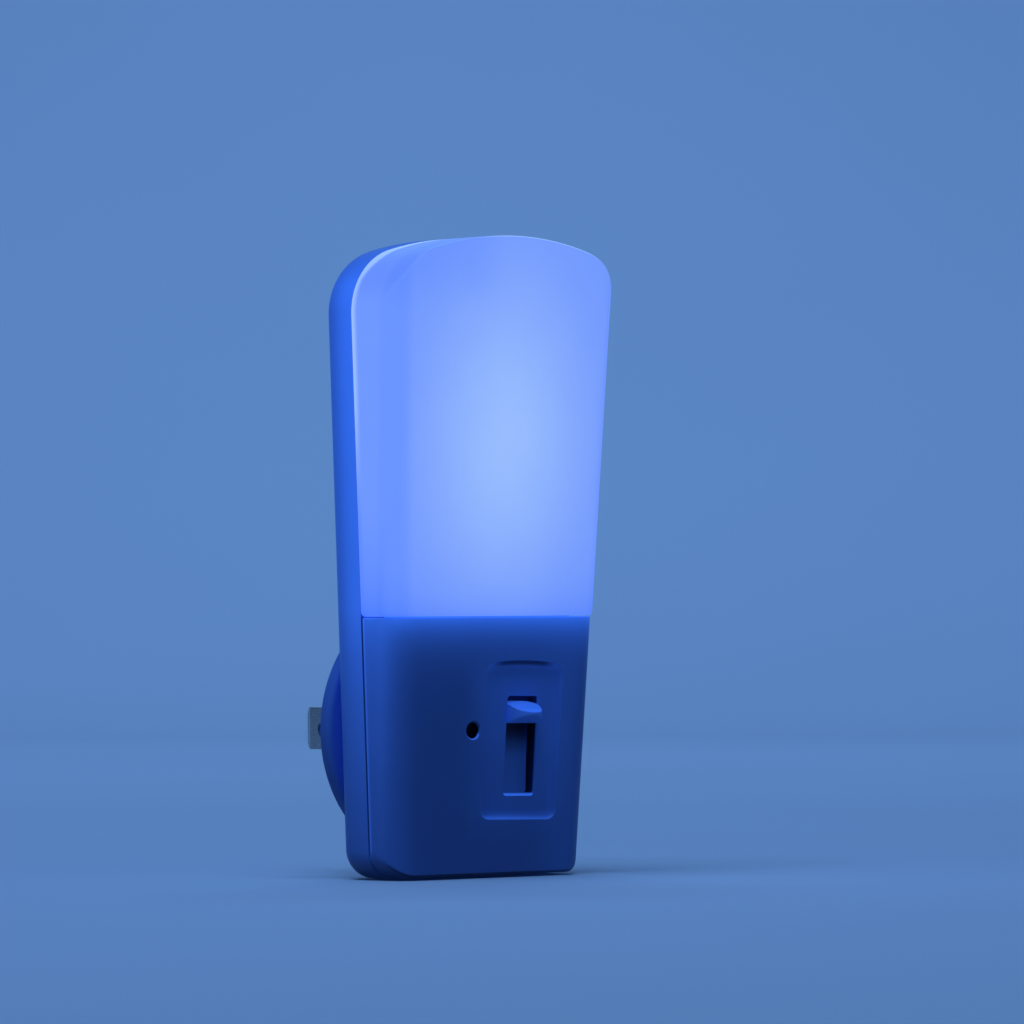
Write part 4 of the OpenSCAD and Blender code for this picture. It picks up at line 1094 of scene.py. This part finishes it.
def make_base():
    prof = [(0, 0), (9.5, 0), (9.65, 0.06), (9.75, 0.2), (9.8, 0.35), (12.4, 0.35), (12.45, 0.2), (12.55, 0.06), (12.7, 0), (14.5, 0)]
    prof += quarter(14.58, 0.4, 0.4, -90, 0)
    prof += [(14.98, 1.7)] + quarter(15.38, 1.8, 0.4, 180, 90)
    prof += [(19.3, 2.2)] + quarter(19.48, 2.7, 0.5, -90, 0)
    prof += [(19.98, 3.4)] + quarter(19.08, 3.6, 0.9, 0, 90, 8) + [(12.6, 4.5)]
    prof += quarter(12.3, 4.8, 0.3, 270, 180, 4) + [(12.0, 5.6), (12.0, 6.8), (11.8, 6.98), (0, 6.98)]
    b = lathe(prof)
    o = b.object("plug_base_disc", "plug", base_mat.m, 40, "base_white", ["plug_base"])
    cut = Solids()
    for s in (-1, 1):
        cut.box(s * 6.35 - 0.81, s * 6.35 + 0.81, -1, 6.0, -3.24, 3.24)
        cut.box(s * 6.35 - 1.35, s * 6.35 + 1.35, 5.2, 8.0, -3.575, 3.575)
    for a in (0, 120, 240):
        t = math.radians(a)
        cut.post(9.6 * math.sin(t), 9.6 * math.cos(t), 0.65, 3.4, 8, 32)
    csg(o, cut, "DIFFERENCE")
    return o


# ------------------------------------------------------------------ build
diffuser = make_diffuser()
cover = make_cover()
rear = make_rear()
knob = make_knob()
base = make_base()

# ------------------------------------------------------------------ carried-over construction pieces
brass = metal("nickel_plate", (0.72, 0.70, 0.66), 0.22)
bronze = metal("spring_bronze", (0.78, 0.55, 0.30), 0.3)
copper = metal("copper_track", (0.80, 0.48, 0.32), 0.3)
zinc = metal("zinc_plate", (0.62, 0.63, 0.65), 0.32)
tin = metal("tinned", (0.72, 0.73, 0.75), 0.3)
black = moulded("black_moulding", (0.035, 0.036, 0.04), 0.5)
rubber = moulded("black_sleeve", (0.025, 0.025, 0.028), 0.75)
LOOK = {
    "housing_screws": zinc, "plug_blades": brass, "blade_rivets": bronze, "contact_springs": bronze,
    "swivel_retainer": black, "retainer_screws": zinc, "friction_washer": tin, "inner_slip_ring": copper,
    "outer_slip_ring": copper, "board_screws": zinc, "bleed_resistor": black, "bridge_rectifier": black,
    "driver_chip": black, "photocell_leads": tin, "sensor_sleeve": rubber, "dimmer_case": tin,
    "dimmer_pins": tin, "slot_plate": plate_mat, "dust_strip": film_mat, "dimmer_carriage": plate_mat, "dimmer_wiper": bronze,
    "led_board_screws": zinc,
    "main_board": moulded("board_green", (0.03, 0.20, 0.08), 0.3),
    "film_capacitor": moulded("capacitor_box", (0.62, 0.33, 0.05), 0.3),
    "smoothing_capacitor": moulded("capacitor_sleeve", (0.04, 0.06, 0.18), 0.3),
    "fuse_resistor": moulded("resistor_coat", (0.22, 0.40, 0.30), 0.5),
    "photocell": moulded("cell_face", (0.62, 0.36, 0.14), 0.4),
    "dimmer_track": moulded("track_board", (0.30, 0.17, 0.07), 0.5),
    "reflector_tray": moulded("tray_plastic", (0.88, 0.90, 0.94), 0.5),
    "led_board": moulded("board_white", (0.85, 0.87, 0.90), 0.35),
    "led_chips": moulded("chip_lens", (0.80, 0.86, 0.98), 0.25),
    "led_leads": moulded("lead_red", (0.50, 0.03, 0.03), 0.35),
}
for name, o in NODES.items():
    if o.hide_render:
        continue
    o.data.materials.clear()
    o.data.materials.append(LOOK[name].m)

# ------------------------------------------------------------------ stage, light, camera
def stage():
    """one pale sheet: floor, a wide bend, and the wall behind"""
    bm = bmesh.new()
    f0 = -0.0220
    back, r = 1.35, 0.35
    prof = [(-2.2, f0), (-0.5, f0), (0.5, f0), (back - r, f0)]
    prof += [(back - r + r * math.sin(a), f0 + r * (1 - math.cos(a))) for a in np.linspace(0, math.pi / 2, 24)[1:]]
    prof += [(back, 1.9)]
    rows = []
    look = math.radians(39.5)
    sx, cx = math.sin(look), math.cos(look)
    for d, z in prof:
        rows.append([bm.verts.new((d * sx + u * cx, d * cx - u * sx, z)) for u in (-2.4, -0.7, 0, 0.7, 2.4)])
    for a, b in zip(rows[:-1], rows[1:]):
        for i in range(4):
            bm.faces.new((a[i], a[i + 1], b[i + 1], b[i]))
    me = bpy.data.meshes.new("sweep")
    bm.to_mesh(me)
    bm.free()
    me.polygons.foreach_set("use_smooth", [True] * len(me.polygons))
    o = bpy.data.objects.new("sweep", me)
    bpy.context.scene.collection.objects.link(o)
    m = Mat("sweep_paper", (0.80, 0.82, 0.85), 0.85)
    m.to("Base Color", m.ramp(m.noise(6, 3, 0.5), [(0.3, (0.79, 0.81, 0.84)), (0.7, (0.81, 0.83, 0.86))]))
    me.materials.append(m.m)
    o.visible_diffuse = False
    return o


stage()


def area(name, loc, target, size, power, color, spread=180):
    d = bpy.data.lights.new(name, "AREA")
    d.shape, d.size, d.size_y = "RECTANGLE", size[0], size[1]
    d.energy, d.color = power, color
    d.spread = math.radians(spread)
    o = bpy.data.objects.new(name, d)
    o.location = loc
    o.rotation_mode = "QUATERNION"
    o.rotation_quaternion = (Vector(target) - Vector(loc)).to_track_quat("-Z", "Y")
    bpy.context.scene.collection.objects.link(o)
    return o


COOL = (0.20, 0.45, 1.0)
area("key_top", (-0.28, -0.18, 0.94), (0, 0, 0.025), (0.6, 0.6), 4.8, COOL)
area("side_left", (-0.95, 0.22, 0.12), (0, 0, 0.025), (0.5, 0.5), 0.75, COOL)
area("fill_front", (-0.1, -1.3, 0.25), (0, 0, 0.025), (0.8, 0.8), 0.4, COOL)
area("wash_back", (0.45, 0.55, 1.1), (0.86, 1.04, 0.25), (0.8, 0.4), 7.0, COOL)

world = bpy.data.worlds.new("studio")
bpy.context.scene.world = world
world.use_nodes = True
bg = world.node_tree.nodes["Background"]
bg.inputs[0].default_value = (0.20, 0.45, 1.0, 1)
bg.inputs[1].default_value = 0.06

cam_d = bpy.data.cameras.new("camera")
cam = bpy.data.objects.new("camera", cam_d)
bpy.context.scene.collection.objects.link(cam)
yaw = math.radians(39.5)
look = Vector((math.sin(yaw), math.cos(yaw), 0))
tilt, roll = 0.0073, -0.006
look = Vector((math.sin(yaw) * math.cos(tilt), math.cos(yaw) * math.cos(tilt), math.sin(tilt)))
cam.location = Vector((0, 0, 0.0258)) - 0.98 * look
cam.rotation_mode = "QUATERNION"
cam.rotation_quaternion = look.to_track_quat("-Z", "Y") @ Quaternion((0, 0, 1), roll)
cam_d.sensor_width = 36.0
cam_d.lens = 36.0 * 6500 / 1024
cam_d.shift_x = 0.0974
cam_d.shift_y = 0.0443
cam_d.clip_start, cam_d.clip_end = 0.05, 10
bpy.context.scene.camera = cam

bpy.context.scene.view_settings.view_transform = "Standard"
bpy.context.scene.view_settings.look = "None"
